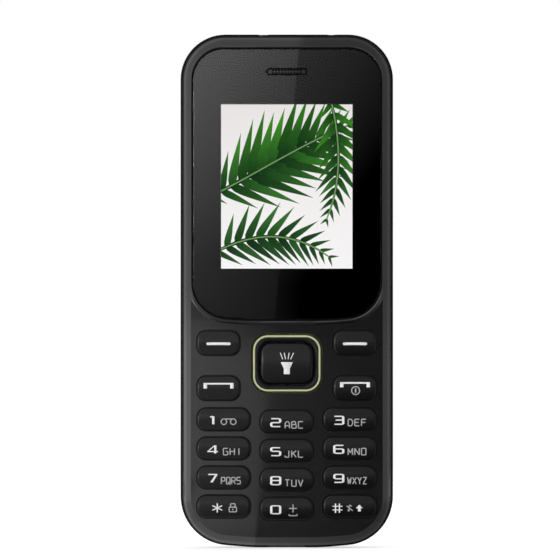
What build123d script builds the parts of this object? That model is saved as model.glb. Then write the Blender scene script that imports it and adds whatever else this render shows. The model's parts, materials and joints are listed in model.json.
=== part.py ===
from build123d import *
import os
from math import radians, tan

# A bar-shaped mobile phone with a keypad, drawn as the pieces it comes apart into.
# Millimetres. The phone stands on its lower end: X across, Y from front to back, Z up along its length.
# A depth is measured from the lip round the window, the front of the housing, towards the back.

# Keypad as it lies on the face
KEY_WIDTH = 11.3
KEY_HEIGHT = 4.8
KEY_CORNER = 2.0
KEY_GAP = 0.24
COLUMN_BAR = 1.68
ROW_BAR = 0.92
MIDDLE_DROP = 0.5
SOFT_WIDTH = 9.1
SOFT_HEIGHT = 5.2
SOFT_CORNER = 1.9
CALL_BAR = 1.17
SOFT_BAR = 3.97
SIDE_MARGIN = 3.35
BOTTOM_MARGIN = 6.16
NAV_WIDTH = 14.35
NAV_HEIGHT = 11.95
NAV_CORNER = 3.15
NAV_GAP = 0.5
NAV_BAND = 1.3
NAV_SLOPE = 0.55
NAV_RISE = 0.475
TRIM_WIDTH = 0.42
TRIM_HEIGHT = 0.45
TRIM_EDGE = 0.15
SELECT_GAP = 0.25
SELECT_CORNER = 2.25

# Display and window
ACTIVE_WIDTH = 28.03
ACTIVE_HEIGHT = 35.04
VIEW_MARGIN = 1.0
VIEW_CORNER = 0.8
MASK_MARGIN = 0.15
PANEL_BORDER = 1.6
PANEL_THICK = 0.7
FRAME_BORDER = 1.3
FRAME_CHIN = 5.5
FRAME_LIP = 0.5
FRAME_CORNER = 0.6
CHIN = 11.14
BROW = 12.13
WINDOW_BAR = 1.9
WINDOW_GAP = 0.36
WINDOW_SINK = 0.25
WINDOW_THICK = 0.9
WINDOW_EDGE = 0.08
WINDOW_LOW_CORNER = 7.9
WINDOW_HIGH_CORNER = 6.9
WINDOW_FLAT = 16.0
WINDOW_SLOPE = 4.5
MASK_THICK = 0.1
GASKET_THICK = 0.4
GASKET_SIDE = 1.5
GASKET_END = 0.8
EARPIECE_DROP = 5.15
EARPIECE_WIDTH = 8.8
EARPIECE_HEIGHT = 1.6
EARPIECE_SINK = 0.2
EARPIECE_HOLE = 0.22
EARPIECE_PITCH = 0.66
RECEIVER_WIDTH = 10.0
RECEIVER_HEIGHT = 6.0
RECEIVER_CORNER = 1.2
RECEIVER_DISH = 0.4
FLEX_WIDTH = 16.0
FLEX_LENGTH = 3.0
FLEX_THICK = 0.15

# Outer form
RIM_SIDE = 2.35
RIM_TOP = 2.85
TOP_CORNER = 9.6
BOTTOM_CORNER = 10.5
BOTTOM_FLAT = 15.0
BOTTOM_SLOPE = 4.9
END_BLEND = 60.0
FRONT_INSET = 0.45
SHOULDER_WIDTH = 2.3
SHOULDER_DROP = 1.5
SHOULDER_ROUND = 2.0
LIP_WIDTH = 0.6
LIP_RUN = 0.3
LIP_BEVEL = 0.35
BAND_ROUND = 0.3
BACK_ROUND = 3.0
LEAST_ROUND = 0.4
LEAST_STRAIGHT = 0.2

# Walls and running gaps
DECK_DROP = 0.35
FRONT_WALL = 1.3
SIDE_WALL = 1.4
REAR_WALL = 1.5
COVER_WALL = 1.2
SHELL_FIT = 0.2
SEAT_FIT = 0.1
STOP_GAP = 0.05

# Keys and what lies under them
KEY_PROUD = 0.5
KEY_CROWN = 11.0
KEY_EDGE = 0.35
KEY_TRAVEL = 0.4
FLANGE_LIP = 0.3
FLANGE_THICK = 0.45
STEM_RADIUS = 1.1
STEM_GAP = 0.35
MAT_THICK = 0.5
MAT_SKIRT = 0.7
DOME_CLEAR = 0.2
DOME_RADIUS = 2.0
DOME_HEIGHT = 0.25
DOME_FOOT = 0.35
DOME_FOOT_RISE = 0.15
DOME_TOP = 0.5
NAV_DOME_RADIUS = 1.0
FILM_THICK = 0.12
NAV_TOP = 0.05
NAV_TILT = 1.8
NAV_PAD_THICK = 0.3
NAV_STEM_RADIUS = 0.5
SELECT_CROWN = 22.0
SELECT_EDGE = 0.6
LED_WIDTH = 1.6
LED_HEIGHT = 0.8
LED_THICK = 0.5

# Board, battery, shells and screws
BOARD_THICK = 0.8
PART_ROOM = 1.4
FLOOR_THICK = 0.7
BATTERY_WIDTH = 34.0
BATTERY_LENGTH = 53.0
BATTERY_THICK = 5.0
BATTERY_FIT = 0.2
BATTERY_EDGE = 0.8
BATTERY_CAP = 3.0
BAY_WALL = 1.0
TOP_BAY = 34.6
LOW_BAY = 20.0
SEAM_DEPTH = 4.9
PARTING_DROP = 0.25
SCREW_RADIUS = 0.55
SCREW_LENGTH = 5.6
HEAD_RADIUS = 1.3
HEAD_HEIGHT = 0.9
HEAD_DEPTH = 3.3
CROSS_WIDTH = 0.45
CROSS_LENGTH = 1.8
CROSS_DEPTH = 0.45
BOSS_RADIUS = 1.5
POST_WALL = 0.8
TOP_SCREW_IN = 7.2
TOP_SCREW_DROP = 7.6
MIDDLE_SCREW_RISE = 4.0
LOW_SCREW_IN = 9.2
LOW_SCREW_RISE = 4.0
TAB_LENGTH = 5.0
TAB_THICK = 0.8
TAB_REACH = 1.6
LOW_TAB_RISE = 17.0
HIGH_TAB_DROP = 14.6
NOTCH_WIDTH = 9.0
NOTCH_HEIGHT = 1.4
NOTCH_DEPTH = 0.7
NOTCH_CORNER = 0.6

# Headphone socket, charging socket, torch and microphone
JACK_X = 9.5
JACK_BORE = 1.8
JACK_BARREL = 2.2
JACK_WIDTH = 6.2
JACK_LENGTH = 13.4
JACK_HALF = 2.6
JACK_STEP = 3.2
JACK_END = 0.8
JACK_CORNER = 0.5
USB_WIDTH = 7.5
USB_HEIGHT = 2.6
USB_LENGTH = 5.5
USB_SHEET = 0.3
USB_SINK = 0.4
USB_ROOM = 0.35
USB_BEVEL = 0.9
USB_BEVEL_START = 0.2
USB_MOUTH_CORNER = 0.9
TONGUE_SINK = 0.8
TONGUE_MARGIN = 1.5
TONGUE_THICK = 0.6
TONGUE_OFFSET = 0.3
TONGUE_CORNER = 0.1
TORCH_X = -5.0
TORCH_RADIUS = 2.0
TORCH_LENGTH = 3.2
TORCH_DEPTH = 2.2
TORCH_EDGE = 0.4
TORCH_LED_WIDTH = 3.0
TORCH_LED_LENGTH = 1.6
TORCH_LED_HEIGHT = 3.4
MIC_X = 8.0
MIC_RADIUS = 2.0
MIC_THICK = 1.1
MIC_RISE = 4.9
MIC_HOLE = 0.5
MIC_HOLE_DEPTH = 1.0
BOOT_WALL = 0.5
BOOT_CORNER = 0.6
BOOT_TUBE = 0.35
BOOT_TUBE_DEPTH = 0.6

# Loudspeaker, camera and motor
SPEAKER_X = -10.5
SPEAKER_DROP = 17.0
SPEAKER_WIDTH = 15.0
SPEAKER_HEIGHT = 11.0
SPEAKER_THICK = 3.2
SPEAKER_CORNER = 1.5
SPEAKER_DISH = 0.6
GRILLE_MARGIN = 2.0
GRILLE_CORNER = 1.0
GRILLE_RIM = 0.5
GRILLE_THICK = 0.4
SLOT_COUNT = 5
SLOT_HEIGHT = 0.8
CAMERA_X = 2.3
CAMERA_DROP = 13.2
CAMERA_SIZE = 7.0
CAMERA_CORNER = 0.4
CAMERA_BASE = 3.0
BARREL_RADIUS = 2.75
IRIS_RADIUS = 1.1
IRIS_DEPTH = 0.8
PANE_RADIUS = 3.5
PANE_THICK = 0.9
TURRET_WALL = 0.7
MOTOR_RISE = 9.5
MOTOR_X = 12.0
MOTOR_RADIUS = 2.1
MOTOR_LENGTH = 8.0
MOTOR_CLEAR = 0.5
CRADLE_WALL = 0.6
CRADLE_SHORT = 1.0
WEIGHT_RADIUS = 2.0
WEIGHT_LENGTH = 3.4
WEIGHT_GAP = 0.5
SHAFT_RADIUS = 0.4
SHAFT_GAP = 0.06
SHAFT_END = 0.3

# Card holders, radio lid, battery socket and aerial
HOLDER_FIT = 0.3
HOLDER_GAP = 1.6
HOLDER_SHEET = 0.25
HOLDER_FRAME = 3.0
HOLDER_RAIL = 1.0
HOLDER_CORNER = 0.6
SIM_WIDTH = 14.5
SIM_LENGTH = 13.0
SIM_THICK = 1.2
SIM_MARGIN = 3.5
CARD_WIDTH = 12.0
CARD_IN = 1.5
SHIELD_WIDTH = 18.0
SHIELD_LENGTH = 16.0
SHIELD_THICK = 1.1
SHIELD_SHEET = 0.25
SHIELD_CORNER = 0.8
SOCKET_WIDTH = 9.0
SOCKET_LENGTH = 3.2
SOCKET_THICK = 4.4
CONTACT_WIDTH = 1.2
CONTACT_PITCH = 2.8
CONTACT_REACH = 0.3
CONTACT_INSET = 0.6
ANTENNA_THICK = 0.12
ANTENNA_TRACK = 1.6
ANTENNA_WIDTH = 26.0
ANTENNA_HEIGHT = 9.0
ANTENNA_RISE = 8.5

# A depth ahead of every piece, where cuts in the face start
AHEAD = -1.0

# Places on the face that follow from the sizes above
KEY_OPEN_WIDTH = KEY_WIDTH + 2 * KEY_GAP
KEY_OPEN_HEIGHT = KEY_HEIGHT + 2 * KEY_GAP
SOFT_OPEN_HEIGHT = SOFT_HEIGHT + 2 * KEY_GAP
COLUMN_PITCH = KEY_OPEN_WIDTH + COLUMN_BAR
ROW_PITCH = KEY_OPEN_HEIGHT + ROW_BAR
PANEL_WIDTH = ACTIVE_WIDTH + 2 * PANEL_BORDER
FRAME_WIDTH = PANEL_WIDTH + 2 * FRAME_BORDER
BOSS_SIDE = FRONT_INSET + SIDE_WALL + BOSS_RADIUS - SHELL_FIT
KEYPAD_BODY = 2 * COLUMN_PITCH + KEY_OPEN_WIDTH + 2 * SIDE_MARGIN
DISPLAY_BODY = FRAME_WIDTH + 2 * (BOSS_SIDE + BOSS_RADIUS + SHELL_FIT)
BODY_WIDTH = max(KEYPAD_BODY, DISPLAY_BODY)
ROW_Z = [BOTTOM_MARGIN + KEY_OPEN_HEIGHT / 2 + row * ROW_PITCH for row in (3, 2, 1, 0)]
CALL_Z = ROW_Z[0] + KEY_OPEN_HEIGHT / 2 + CALL_BAR + SOFT_OPEN_HEIGHT / 2
SOFT_Z = CALL_Z + SOFT_OPEN_HEIGHT + SOFT_BAR
SOFT_X = COLUMN_PITCH + KEY_WIDTH / 2 - SOFT_WIDTH / 2
NAV_Z = (CALL_Z + SOFT_Z) / 2 + NAV_RISE
WINDOW_LOW = SOFT_Z + SOFT_OPEN_HEIGHT / 2 + WINDOW_BAR
ACTIVE_LOW = WINDOW_LOW + CHIN
ACTIVE_HIGH = ACTIVE_LOW + ACTIVE_HEIGHT
ACTIVE_Z = ACTIVE_LOW + ACTIVE_HEIGHT / 2
BODY_LENGTH = max(ACTIVE_HIGH + BROW + RIM_TOP, LOW_BAY + BATTERY_LENGTH + TOP_BAY)
WINDOW_HIGH = BODY_LENGTH - RIM_TOP
EARPIECE_Z = WINDOW_HIGH - EARPIECE_DROP
FRAME_LOW = ACTIVE_LOW - FRAME_CHIN
FRAME_HIGH = ACTIVE_HIGH + FRAME_BORDER
FRAME_Z = (FRAME_LOW + FRAME_HIGH) / 2
PANEL_LOW = FRAME_LOW + FRAME_BORDER
PANEL_HIGH = FRAME_HIGH - FRAME_LIP
PANEL_Z = (PANEL_LOW + PANEL_HIGH) / 2
BATTERY_HIGH = BODY_LENGTH - TOP_BAY
BATTERY_LOW = BATTERY_HIGH - BATTERY_LENGTH
BATTERY_Z = (BATTERY_LOW + BATTERY_HIGH) / 2
SOCKET_Z = BATTERY_HIGH + BATTERY_FIT + SOCKET_LENGTH / 2
SIM_Z = BATTERY_LOW + SIM_MARGIN + SIM_LENGTH / 2
SIM_X = SIM_WIDTH / 2 + HOLDER_GAP / 2
HOLDER_LOW = SIM_Z + SIM_LENGTH / 2 + HOLDER_GAP
CARD_X = -BATTERY_WIDTH / 2 + CARD_IN + CARD_WIDTH / 2
CARD_Z = HOLDER_LOW + CARD_WIDTH / 2
SHIELD_X = CARD_X + CARD_WIDTH / 2 + HOLDER_GAP + SHIELD_WIDTH / 2
SHIELD_Z = HOLDER_LOW + SHIELD_LENGTH / 2
SPEAKER_Z = BODY_LENGTH - SPEAKER_DROP
CAMERA_Z = BODY_LENGTH - CAMERA_DROP
MOTOR_Z = BATTERY_HIGH + MOTOR_RISE

# Depths that follow from the stack, front to back
KEY_TOP = DECK_DROP - KEY_PROUD
WALL_UNDER = DECK_DROP + FRONT_WALL
PRESS_ROOM = KEY_TRAVEL + STOP_GAP
FLANGE_NEAR = WALL_UNDER + STOP_GAP
FLANGE_FAR = FLANGE_NEAR + FLANGE_THICK
NAV_REACH = NAV_WIDTH / 2 + NAV_GAP + FLANGE_LIP
NAV_SWING = NAV_REACH * tan(radians(NAV_TILT))
NAV_CAP_FAR = WALL_UNDER + 2 * STOP_GAP
NAV_PAD_NEAR = NAV_CAP_FAR + NAV_SWING
NAV_PAD_FAR = NAV_PAD_NEAR + NAV_PAD_THICK
MAT_NEAR = max(FLANGE_FAR + PRESS_ROOM, NAV_PAD_FAR + NAV_SWING + STOP_GAP / 2)
MAT_FAR = MAT_NEAR + MAT_THICK
DOME_NEAR = MAT_FAR + DOME_CLEAR
FILM_NEAR = DOME_NEAR + DOME_HEIGHT
BOARD_NEAR = FILM_NEAR + FILM_THICK
BOARD_FAR = BOARD_NEAR + BOARD_THICK
STEM_TIP = DOME_NEAR - PRESS_ROOM
NAV_STEM_TIP = DOME_NEAR - NAV_SWING
NAV_STEM_X = NAV_WIDTH / 2 - NAV_BAND / 2
NAV_STEM_Z = NAV_HEIGHT / 2 - NAV_BAND / 2
SELECT_WIDTH = NAV_WIDTH - 2 * NAV_BAND - 2 * SELECT_GAP
SELECT_HEIGHT = NAV_HEIGHT - 2 * NAV_BAND - 2 * SELECT_GAP
MASK_NEAR = WINDOW_SINK + WINDOW_THICK
SHELF_NEAR = MASK_NEAR + MASK_THICK
PANEL_NEAR = WALL_UNDER + GASKET_THICK
PARTING = BOARD_FAR + PARTING_DROP
SEAM = PARTING + SEAM_DEPTH
FLOOR_NEAR = BOARD_FAR + PART_ROOM
FLOOR_FAR = FLOOR_NEAR + FLOOR_THICK
BATTERY_NEAR = FLOOR_FAR + BATTERY_FIT
BATTERY_FAR = BATTERY_NEAR + BATTERY_THICK
COVER_INSIDE = BATTERY_FAR + BATTERY_FIT
BACK = COVER_INSIDE + COVER_WALL
PLATEAU = COVER_INSIDE - SHELL_FIT
ROOM_FAR = PLATEAU - REAR_WALL
HEAD_NEAR = PARTING + HEAD_DEPTH
MIDDLE = (KEY_TOP + BACK) / 2
FRONT_INSIDE = FRONT_INSET + SIDE_WALL
REAR_INSIDE = FRONT_INSET + REAR_WALL
PLATEAU_INSET = COVER_WALL + SHELL_FIT
ROOM_INSET = COVER_WALL + TAB_THICK + SHELL_FIT + BAY_WALL
JACK_DEPTH = BOARD_FAR + JACK_HALF
USB_DEPTH = BOARD_FAR + USB_HEIGHT / 2
TORCH_CENTRE = BOARD_FAR + TORCH_DEPTH
MOTOR_DEPTH = BOARD_FAR + MOTOR_CLEAR + MOTOR_RADIUS
TURRET_FAR = BACK - SEAT_FIT
TURRET_RADIUS = PANE_RADIUS + SEAT_FIT + TURRET_WALL
CONTACT_NEAR = BATTERY_NEAR + CONTACT_INSET
CONTACT_FAR = BOARD_FAR + SOCKET_THICK - CONTACT_INSET

# Rows of places
SCREWS = [
    (side * x, z)
    for side in (-1, 1)
    for x, z in (
        (BODY_WIDTH / 2 - TOP_SCREW_IN, BODY_LENGTH - TOP_SCREW_DROP),
        (BODY_WIDTH / 2 - BOSS_SIDE, BATTERY_HIGH + MIDDLE_SCREW_RISE),
        (BODY_WIDTH / 2 - LOW_SCREW_IN, LOW_SCREW_RISE),
    )
]
DIGITS = [
    ["key_1", "key_2", "key_3"],
    ["key_4", "key_5", "key_6"],
    ["key_7", "key_8", "key_9"],
    ["key_star", "key_0", "key_hash"],
]
DIGIT_PLACES = {
    name: ((column - 1) * COLUMN_PITCH, ROW_Z[row] - (MIDDLE_DROP if column == 1 else 0))
    for row, names in enumerate(DIGITS)
    for column, name in enumerate(names)
}
SOFT_PLACES = {
    "left_soft_key": (-SOFT_X, SOFT_Z),
    "right_soft_key": (SOFT_X, SOFT_Z),
    "call_key": (-SOFT_X, CALL_Z),
    "end_key": (SOFT_X, CALL_Z),
}
PRESS_PLACES = list(DIGIT_PLACES.values()) + list(SOFT_PLACES.values()) + [(0, NAV_Z)]
NAV_SIDE_PLACES = [(-NAV_STEM_X, NAV_Z), (NAV_STEM_X, NAV_Z)]
NAV_END_PLACES = [(0, NAV_Z - NAV_STEM_Z), (0, NAV_Z + NAV_STEM_Z)]
LED_PLACES = [(side * COLUMN_PITCH / 2, ROW_Z[row] - ROW_PITCH / 2) for side in (-1, 1) for row in (0, 2)]
SIM_PLACES = [(-SIM_X, SIM_Z), (SIM_X, SIM_Z)]
CONTACT_PLACES = [-CONTACT_PITCH, 0, CONTACT_PITCH]
TAB_PLACES = [
    (side * (BODY_WIDTH / 2 - COVER_WALL - TAB_THICK / 2), z)
    for side in (-1, 1)
    for z in (LOW_TAB_RISE, BATTERY_Z, BODY_LENGTH - HIGH_TAB_DROP)
]


def front_plane(depth):
    """A drawing plane that faces the viewer, at a depth behind the lip."""
    return Plane(origin=(0, depth - MIDDLE, 0), x_dir=(1, 0, 0), z_dir=(0, -1, 0))


def slab(profile, near, far):
    """A straight solid on a profile of the face, between two depths."""
    return extrude(front_plane(far) * profile, amount=far - near)


def block(x, z, width, height, near, far, corner=0.0):
    """A box on the face, with its four upright corners rounded where asked."""
    shape = RectangleRounded(width, height, corner) if corner else Rectangle(width, height)
    return slab(Pos(x, z) * shape, near, far)


def peg(x, z, radius, near, far):
    """A round pin or hole that runs from front to back."""
    return slab(Pos(x, z) * Circle(radius), near, far)


def riser(x, depth, radius, low, high):
    """A round pin or hole that runs along the phone."""
    bar = Cylinder(radius, high - low, align=(Align.CENTER, Align.CENTER, Align.MIN))
    return Pos(x, depth - MIDDLE, low) * bar


def port(x, depth, width, height, low, high, corner):
    """A rounded oblong that runs along the phone."""
    shape = RectangleRounded(width, height, corner)
    return extrude(Pos(x, depth - MIDDLE, low) * shape, amount=high - low)


def roll(x, z, depth, radius, length):
    """A round bar that lies across the phone."""
    return Pos(x, depth - MIDDLE, z) * Rot(0, 90, 0) * Cylinder(radius, length)


def fused(pieces):
    """One shape from several."""
    whole = pieces[0]
    for piece in pieces[1:]:
        whole = whole + piece
    return whole


def end_shape(width, low, high, low_corner, high_corner, flat, slope):
    """An upright oblong with round corners, its lower edge flat in the middle and rising to the sides."""
    half = width / 2
    rise = (half - flat / 2) * tan(radians(slope))
    right = [(flat / 2, low), (half, low + rise), (half, high)]
    left = [(-x, z) for x, z in reversed(right)]
    shape = make_face(Polyline(*right, *left, close=True))
    shape = fillet(shape.vertices().group_by(Axis.Y)[-1], high_corner)
    shape = fillet(shape.vertices().filter_by(lambda v: abs(v.Y - low - rise) < 1e-6), low_corner)
    return fillet(shape.vertices().group_by(Axis.Y)[0], END_BLEND)


def outline(inset):
    """The phone's outline on the face, drawn in by an inset."""
    low_corner, high_corner = BOTTOM_CORNER - inset, TOP_CORNER - inset
    width, high = BODY_WIDTH - 2 * inset, BODY_LENGTH - inset
    return end_shape(width, inset, high, low_corner, high_corner, BOTTOM_FLAT, BOTTOM_SLOPE)


def window_shape(grow):
    """The window's opening in the housing, grown by an amount or shrunk by a negative one."""
    low_corner, high_corner = WINDOW_LOW_CORNER + grow, WINDOW_HIGH_CORNER + grow
    width = BODY_WIDTH - 2 * RIM_SIDE + 2 * grow
    low, high = WINDOW_LOW - grow, WINDOW_HIGH + grow
    return end_shape(width, low, high, low_corner, high_corner, WINDOW_FLAT, WINDOW_SLOPE)


def window_taper(near, near_grow, far, far_grow):
    """A solid that tapers from one size of the window's outline to another between two depths."""
    ends = [front_plane(far) * window_shape(far_grow), front_plane(near) * window_shape(near_grow)]
    return loft([end.face() for end in ends], ruled=True)


def view_block(margin, near, far, corner=0.0):
    """A box over the lit picture, larger by a margin on each side."""
    return block(0, ACTIVE_Z, ACTIVE_WIDTH + 2 * margin, ACTIVE_HEIGHT + 2 * margin, near, far, corner)


def earpiece_shape(grow):
    """The slot over the earpiece."""
    return Pos(0, EARPIECE_Z) * SlotOverall(EARPIECE_WIDTH + 2 * grow, EARPIECE_HEIGHT + 2 * grow)


def digit_shape(grow):
    """A number key's outline, grown by an amount."""
    return RectangleRounded(KEY_WIDTH + 2 * grow, KEY_HEIGHT + 2 * grow, KEY_CORNER + grow)


def soft_shape(grow):
    """The outline of a soft key, the call key or the end key, grown by an amount."""
    return RectangleRounded(SOFT_WIDTH + 2 * grow, SOFT_HEIGHT + 2 * grow, SOFT_CORNER + grow)


def nav_shape(grow):
    """The four-way key's outline in its place, grown by an amount."""
    return Pos(0, NAV_Z) * RectangleRounded(NAV_WIDTH + 2 * grow, NAV_HEIGHT + 2 * grow, NAV_CORNER + grow)


def select_shape(grow):
    """The middle key's outline in its place, grown by an amount."""
    size = RectangleRounded(SELECT_WIDTH + 2 * grow, SELECT_HEIGHT + 2 * grow, SELECT_CORNER + grow)
    return Pos(0, NAV_Z) * size


def boss_room(near, far):
    """What the screw bosses of the front housing take from the pieces round them."""
    return fused([peg(x, z, BOSS_RADIUS + SHELL_FIT, near, far) for x, z in SCREWS])


def port_cuts():
    """The mouths of the sockets, lamp and microphone in the ends of the shells."""
    below, above = AHEAD, BODY_LENGTH - AHEAD
    jack_low = BODY_LENGTH - JACK_STEP - SHELL_FIT
    torch_low = BODY_LENGTH - TORCH_LENGTH - SHELL_FIT
    usb_high = USB_SINK + USB_LENGTH + USB_ROOM
    usb_width, usb_height = USB_WIDTH + 2 * USB_ROOM, USB_HEIGHT + 2 * USB_ROOM
    return fused(
        [
            riser(JACK_X, JACK_DEPTH, JACK_BARREL + SEAT_FIT, jack_low, above),
            riser(TORCH_X, TORCH_CENTRE, TORCH_RADIUS + SEAT_FIT, torch_low, above),
            port(0, USB_DEPTH, usb_width, usb_height, below, usb_high, USB_MOUTH_CORNER),
            riser(MIC_X, BOARD_FAR + MIC_HOLE_DEPTH, MIC_HOLE, below, MIC_RISE - MIC_RADIUS),
        ]
    )


def front_housing():
    """The front shell: bevelled rim, sunk key deck, lip round the window, shelf and screw bosses."""
    form = slab(outline(FRONT_INSET), 0, PARTING)
    face = form.faces().sort_by(Axis.Y)[0]
    form = chamfer(face.edges(), length=SHOULDER_WIDTH, length2=SHOULDER_DROP, reference=face)
    shoulder = SHOULDER_DROP - MIDDLE
    form = fillet(form.edges().filter_by_position(Axis.Y, shoulder, shoulder), SHOULDER_ROUND)
    lip = window_taper(0, LIP_WIDTH, DECK_DROP, LIP_WIDTH + LIP_RUN)
    form = form - (slab(outline(0), AHEAD, DECK_DROP) - lip)
    form = form - slab(outline(FRONT_INSIDE), WALL_UNDER, PARTING)
    form = form - slab(window_shape(0), AHEAD, SHELF_NEAR) - window_taper(0, LIP_BEVEL, LIP_BEVEL, 0)
    form = form - view_block(VIEW_MARGIN, AHEAD, WALL_UNDER, VIEW_CORNER)
    form = form - slab(earpiece_shape(SEAT_FIT), AHEAD, WALL_UNDER)
    for x, z in DIGIT_PLACES.values():
        form = form - slab(Pos(x, z) * digit_shape(KEY_GAP), AHEAD, WALL_UNDER)
    for x, z in SOFT_PLACES.values():
        form = form - slab(Pos(x, z) * soft_shape(KEY_GAP), AHEAD, WALL_UNDER)
    form = form - slab(nav_shape(NAV_GAP), AHEAD, WALL_UNDER)
    for x, z in SCREWS:
        form = form + peg(x, z, BOSS_RADIUS, WALL_UNDER - SEAT_FIT, PARTING)
    for x, z in SCREWS:
        form = form - peg(x, z, SCREW_RADIUS + STOP_GAP, HEAD_NEAR - SCREW_LENGTH - SHELL_FIT, PARTING)
    return form - port_cuts()


def display_window():
    """The clear window over the display, with the earpiece slot through it."""
    pane = slab(window_shape(-WINDOW_GAP), WINDOW_SINK, MASK_NEAR)
    pane = fillet(pane.faces().sort_by(Axis.Y)[0].edges(), WINDOW_EDGE)
    return pane - slab(earpiece_shape(0), AHEAD, MASK_NEAR)


def window_mask():
    """The black film on the back of the window, open over the picture and the earpiece."""
    film = slab(window_shape(-WINDOW_GAP), MASK_NEAR, SHELF_NEAR)
    film = film - view_block(MASK_MARGIN, MASK_NEAR, SHELF_NEAR)
    return film - slab(earpiece_shape(0), MASK_NEAR, SHELF_NEAR)


def earpiece_mesh():
    """The pierced plate in the earpiece slot."""
    plate = slab(earpiece_shape(-STOP_GAP), WINDOW_SINK + EARPIECE_SINK, SHELF_NEAR)
    count = int((EARPIECE_WIDTH - EARPIECE_HEIGHT) / EARPIECE_PITCH)
    for column in range(count):
        x = (column - (count - 1) / 2) * EARPIECE_PITCH
        for z in (EARPIECE_Z - EARPIECE_PITCH / 2, EARPIECE_Z + EARPIECE_PITCH / 2):
            plate = plate - peg(x, z, EARPIECE_HOLE, WINDOW_SINK, SHELF_NEAR)
    return plate


def display_gasket():
    """The foam frame between the display and the housing's shelf."""
    width = ACTIVE_WIDTH + 2 * (VIEW_MARGIN + GASKET_SIDE)
    height = ACTIVE_HEIGHT + 2 * (VIEW_MARGIN + GASKET_END)
    pad = block(0, ACTIVE_Z, width, height, WALL_UNDER, PANEL_NEAR)
    return pad - view_block(VIEW_MARGIN, WALL_UNDER, PANEL_NEAR)


def lcd_panel():
    """The display's glass."""
    return block(0, PANEL_Z, PANEL_WIDTH, PANEL_HIGH - PANEL_LOW, PANEL_NEAR, PANEL_NEAR + PANEL_THICK)


def lcd_frame():
    """The backlight tray that holds the display's glass."""
    tray = block(0, FRAME_Z, FRAME_WIDTH, FRAME_HIGH - FRAME_LOW, PANEL_NEAR, BOARD_NEAR, FRAME_CORNER)
    width, height = PANEL_WIDTH + 2 * STOP_GAP, PANEL_HIGH - PANEL_LOW + 2 * STOP_GAP
    return tray - block(0, PANEL_Z, width, height, PANEL_NEAR, PANEL_NEAR + PANEL_THICK)


def display_flex():
    """The flat cable from the display to the board."""
    z = FRAME_LOW - FLEX_LENGTH / 2
    return block(0, z, FLEX_WIDTH, FLEX_LENGTH, BOARD_NEAR - FLEX_THICK, BOARD_NEAR)


def earpiece_receiver():
    """The small speaker behind the earpiece slot."""
    near = WALL_UNDER + SEAT_FIT
    body = block(0, EARPIECE_Z, RECEIVER_WIDTH, RECEIVER_HEIGHT, near, BOARD_NEAR, RECEIVER_CORNER)
    return body - slab(earpiece_shape(0), near, near + RECEIVER_DISH)


def keypad_room(inset):
    """The outline the mat and the dome film share: the housing's inside, up to the display's cable."""
    top = FRAME_LOW - FLEX_LENGTH - SHELL_FIT - inset
    return outline(FRONT_INSIDE + SHELL_FIT + inset) & Pos(0, top / 2) * Rectangle(BODY_WIDTH, top)


def keypad_mat():
    """The silicone sheet round the key stems, on a skirt that stands on the dome film."""
    sheet = slab(keypad_room(0), MAT_NEAR, FILM_NEAR)
    sheet = sheet - slab(keypad_room(MAT_SKIRT), MAT_FAR, FILM_NEAR)
    sheet = sheet - boss_room(MAT_NEAR, FILM_NEAR)
    for x, z in PRESS_PLACES:
        sheet = sheet - peg(x, z, STEM_RADIUS + STEM_GAP, MAT_NEAR, FILM_NEAR)
    for x, z in NAV_SIDE_PLACES + NAV_END_PLACES:
        sheet = sheet - peg(x, z, NAV_STEM_RADIUS + STEM_GAP, MAT_NEAR, FILM_NEAR)
    return sheet


def dome_sheet():
    """The film that holds the snap domes on the board."""
    film = slab(keypad_room(0), FILM_NEAR, BOARD_NEAR) - boss_room(FILM_NEAR, BOARD_NEAR)
    for x, z in LED_PLACES:
        film = film - block(x, z, LED_WIDTH + SHELL_FIT, LED_HEIGHT + SHELL_FIT, FILM_NEAR, BOARD_NEAR)
    return film


def stamped_dome(radius):
    """A dome at the origin, stamped from sheet: a steep foot, a flatter crown and a level top."""
    foot, top = FILM_NEAR - MIDDLE, DOME_NEAR - MIDDLE
    rim = [(0, foot), (radius, foot), (radius - DOME_FOOT, foot - DOME_FOOT_RISE), (DOME_TOP, top), (0, top)]
    return revolve(make_face(Polyline(*rim, close=True)), axis=Axis.Y)


def snap_domes():
    """One shallow metal dome under every stem."""
    wide, small = stamped_dome(DOME_RADIUS), stamped_dome(NAV_DOME_RADIUS)
    domes = [Pos(x, 0, z) * wide for x, z in PRESS_PLACES]
    return domes + [Pos(x, 0, z) * small for x, z in NAV_SIDE_PLACES + NAV_END_PLACES]


def keypad_leds():
    """The lamps that light the keys."""
    return [block(x, z, LED_WIDTH, LED_HEIGHT, BOARD_NEAR - LED_THICK, BOARD_NEAR) for x, z in LED_PLACES]


def main_board():
    """The circuit board, notched round the screw bosses."""
    board = slab(outline(FRONT_INSIDE + SHELL_FIT), BOARD_NEAR, BOARD_FAR)
    return board - boss_room(BOARD_NEAR, BOARD_FAR)


def pressed_key(shape):
    """A key at the origin: domed cap, flange under the housing's wall and a stem over its dome."""
    cap = slab(shape(0), KEY_TOP, FLANGE_NEAR)
    cap = cap & roll(0, 0, KEY_TOP + KEY_CROWN, KEY_CROWN, 2 * KEY_WIDTH)
    cap = fillet(cap.faces().sort_by(Axis.Y)[0].edges(), KEY_EDGE)
    flange = slab(shape(KEY_GAP + FLANGE_LIP), FLANGE_NEAR, FLANGE_FAR)
    return cap + flange + peg(0, 0, STEM_RADIUS, FLANGE_FAR, STEM_TIP)


def select_key():
    """The middle key of the four-way pad, soft at its edges."""
    cap = slab(select_shape(0), NAV_TOP, FLANGE_FAR)
    cap = cap & roll(0, NAV_Z, NAV_TOP + SELECT_CROWN, SELECT_CROWN, NAV_WIDTH)
    cap = fillet(cap.faces().sort_by(Axis.Y)[0].edges(), SELECT_EDGE)
    return cap + peg(0, NAV_Z, STEM_RADIUS, FLANGE_FAR, STEM_TIP)


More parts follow.
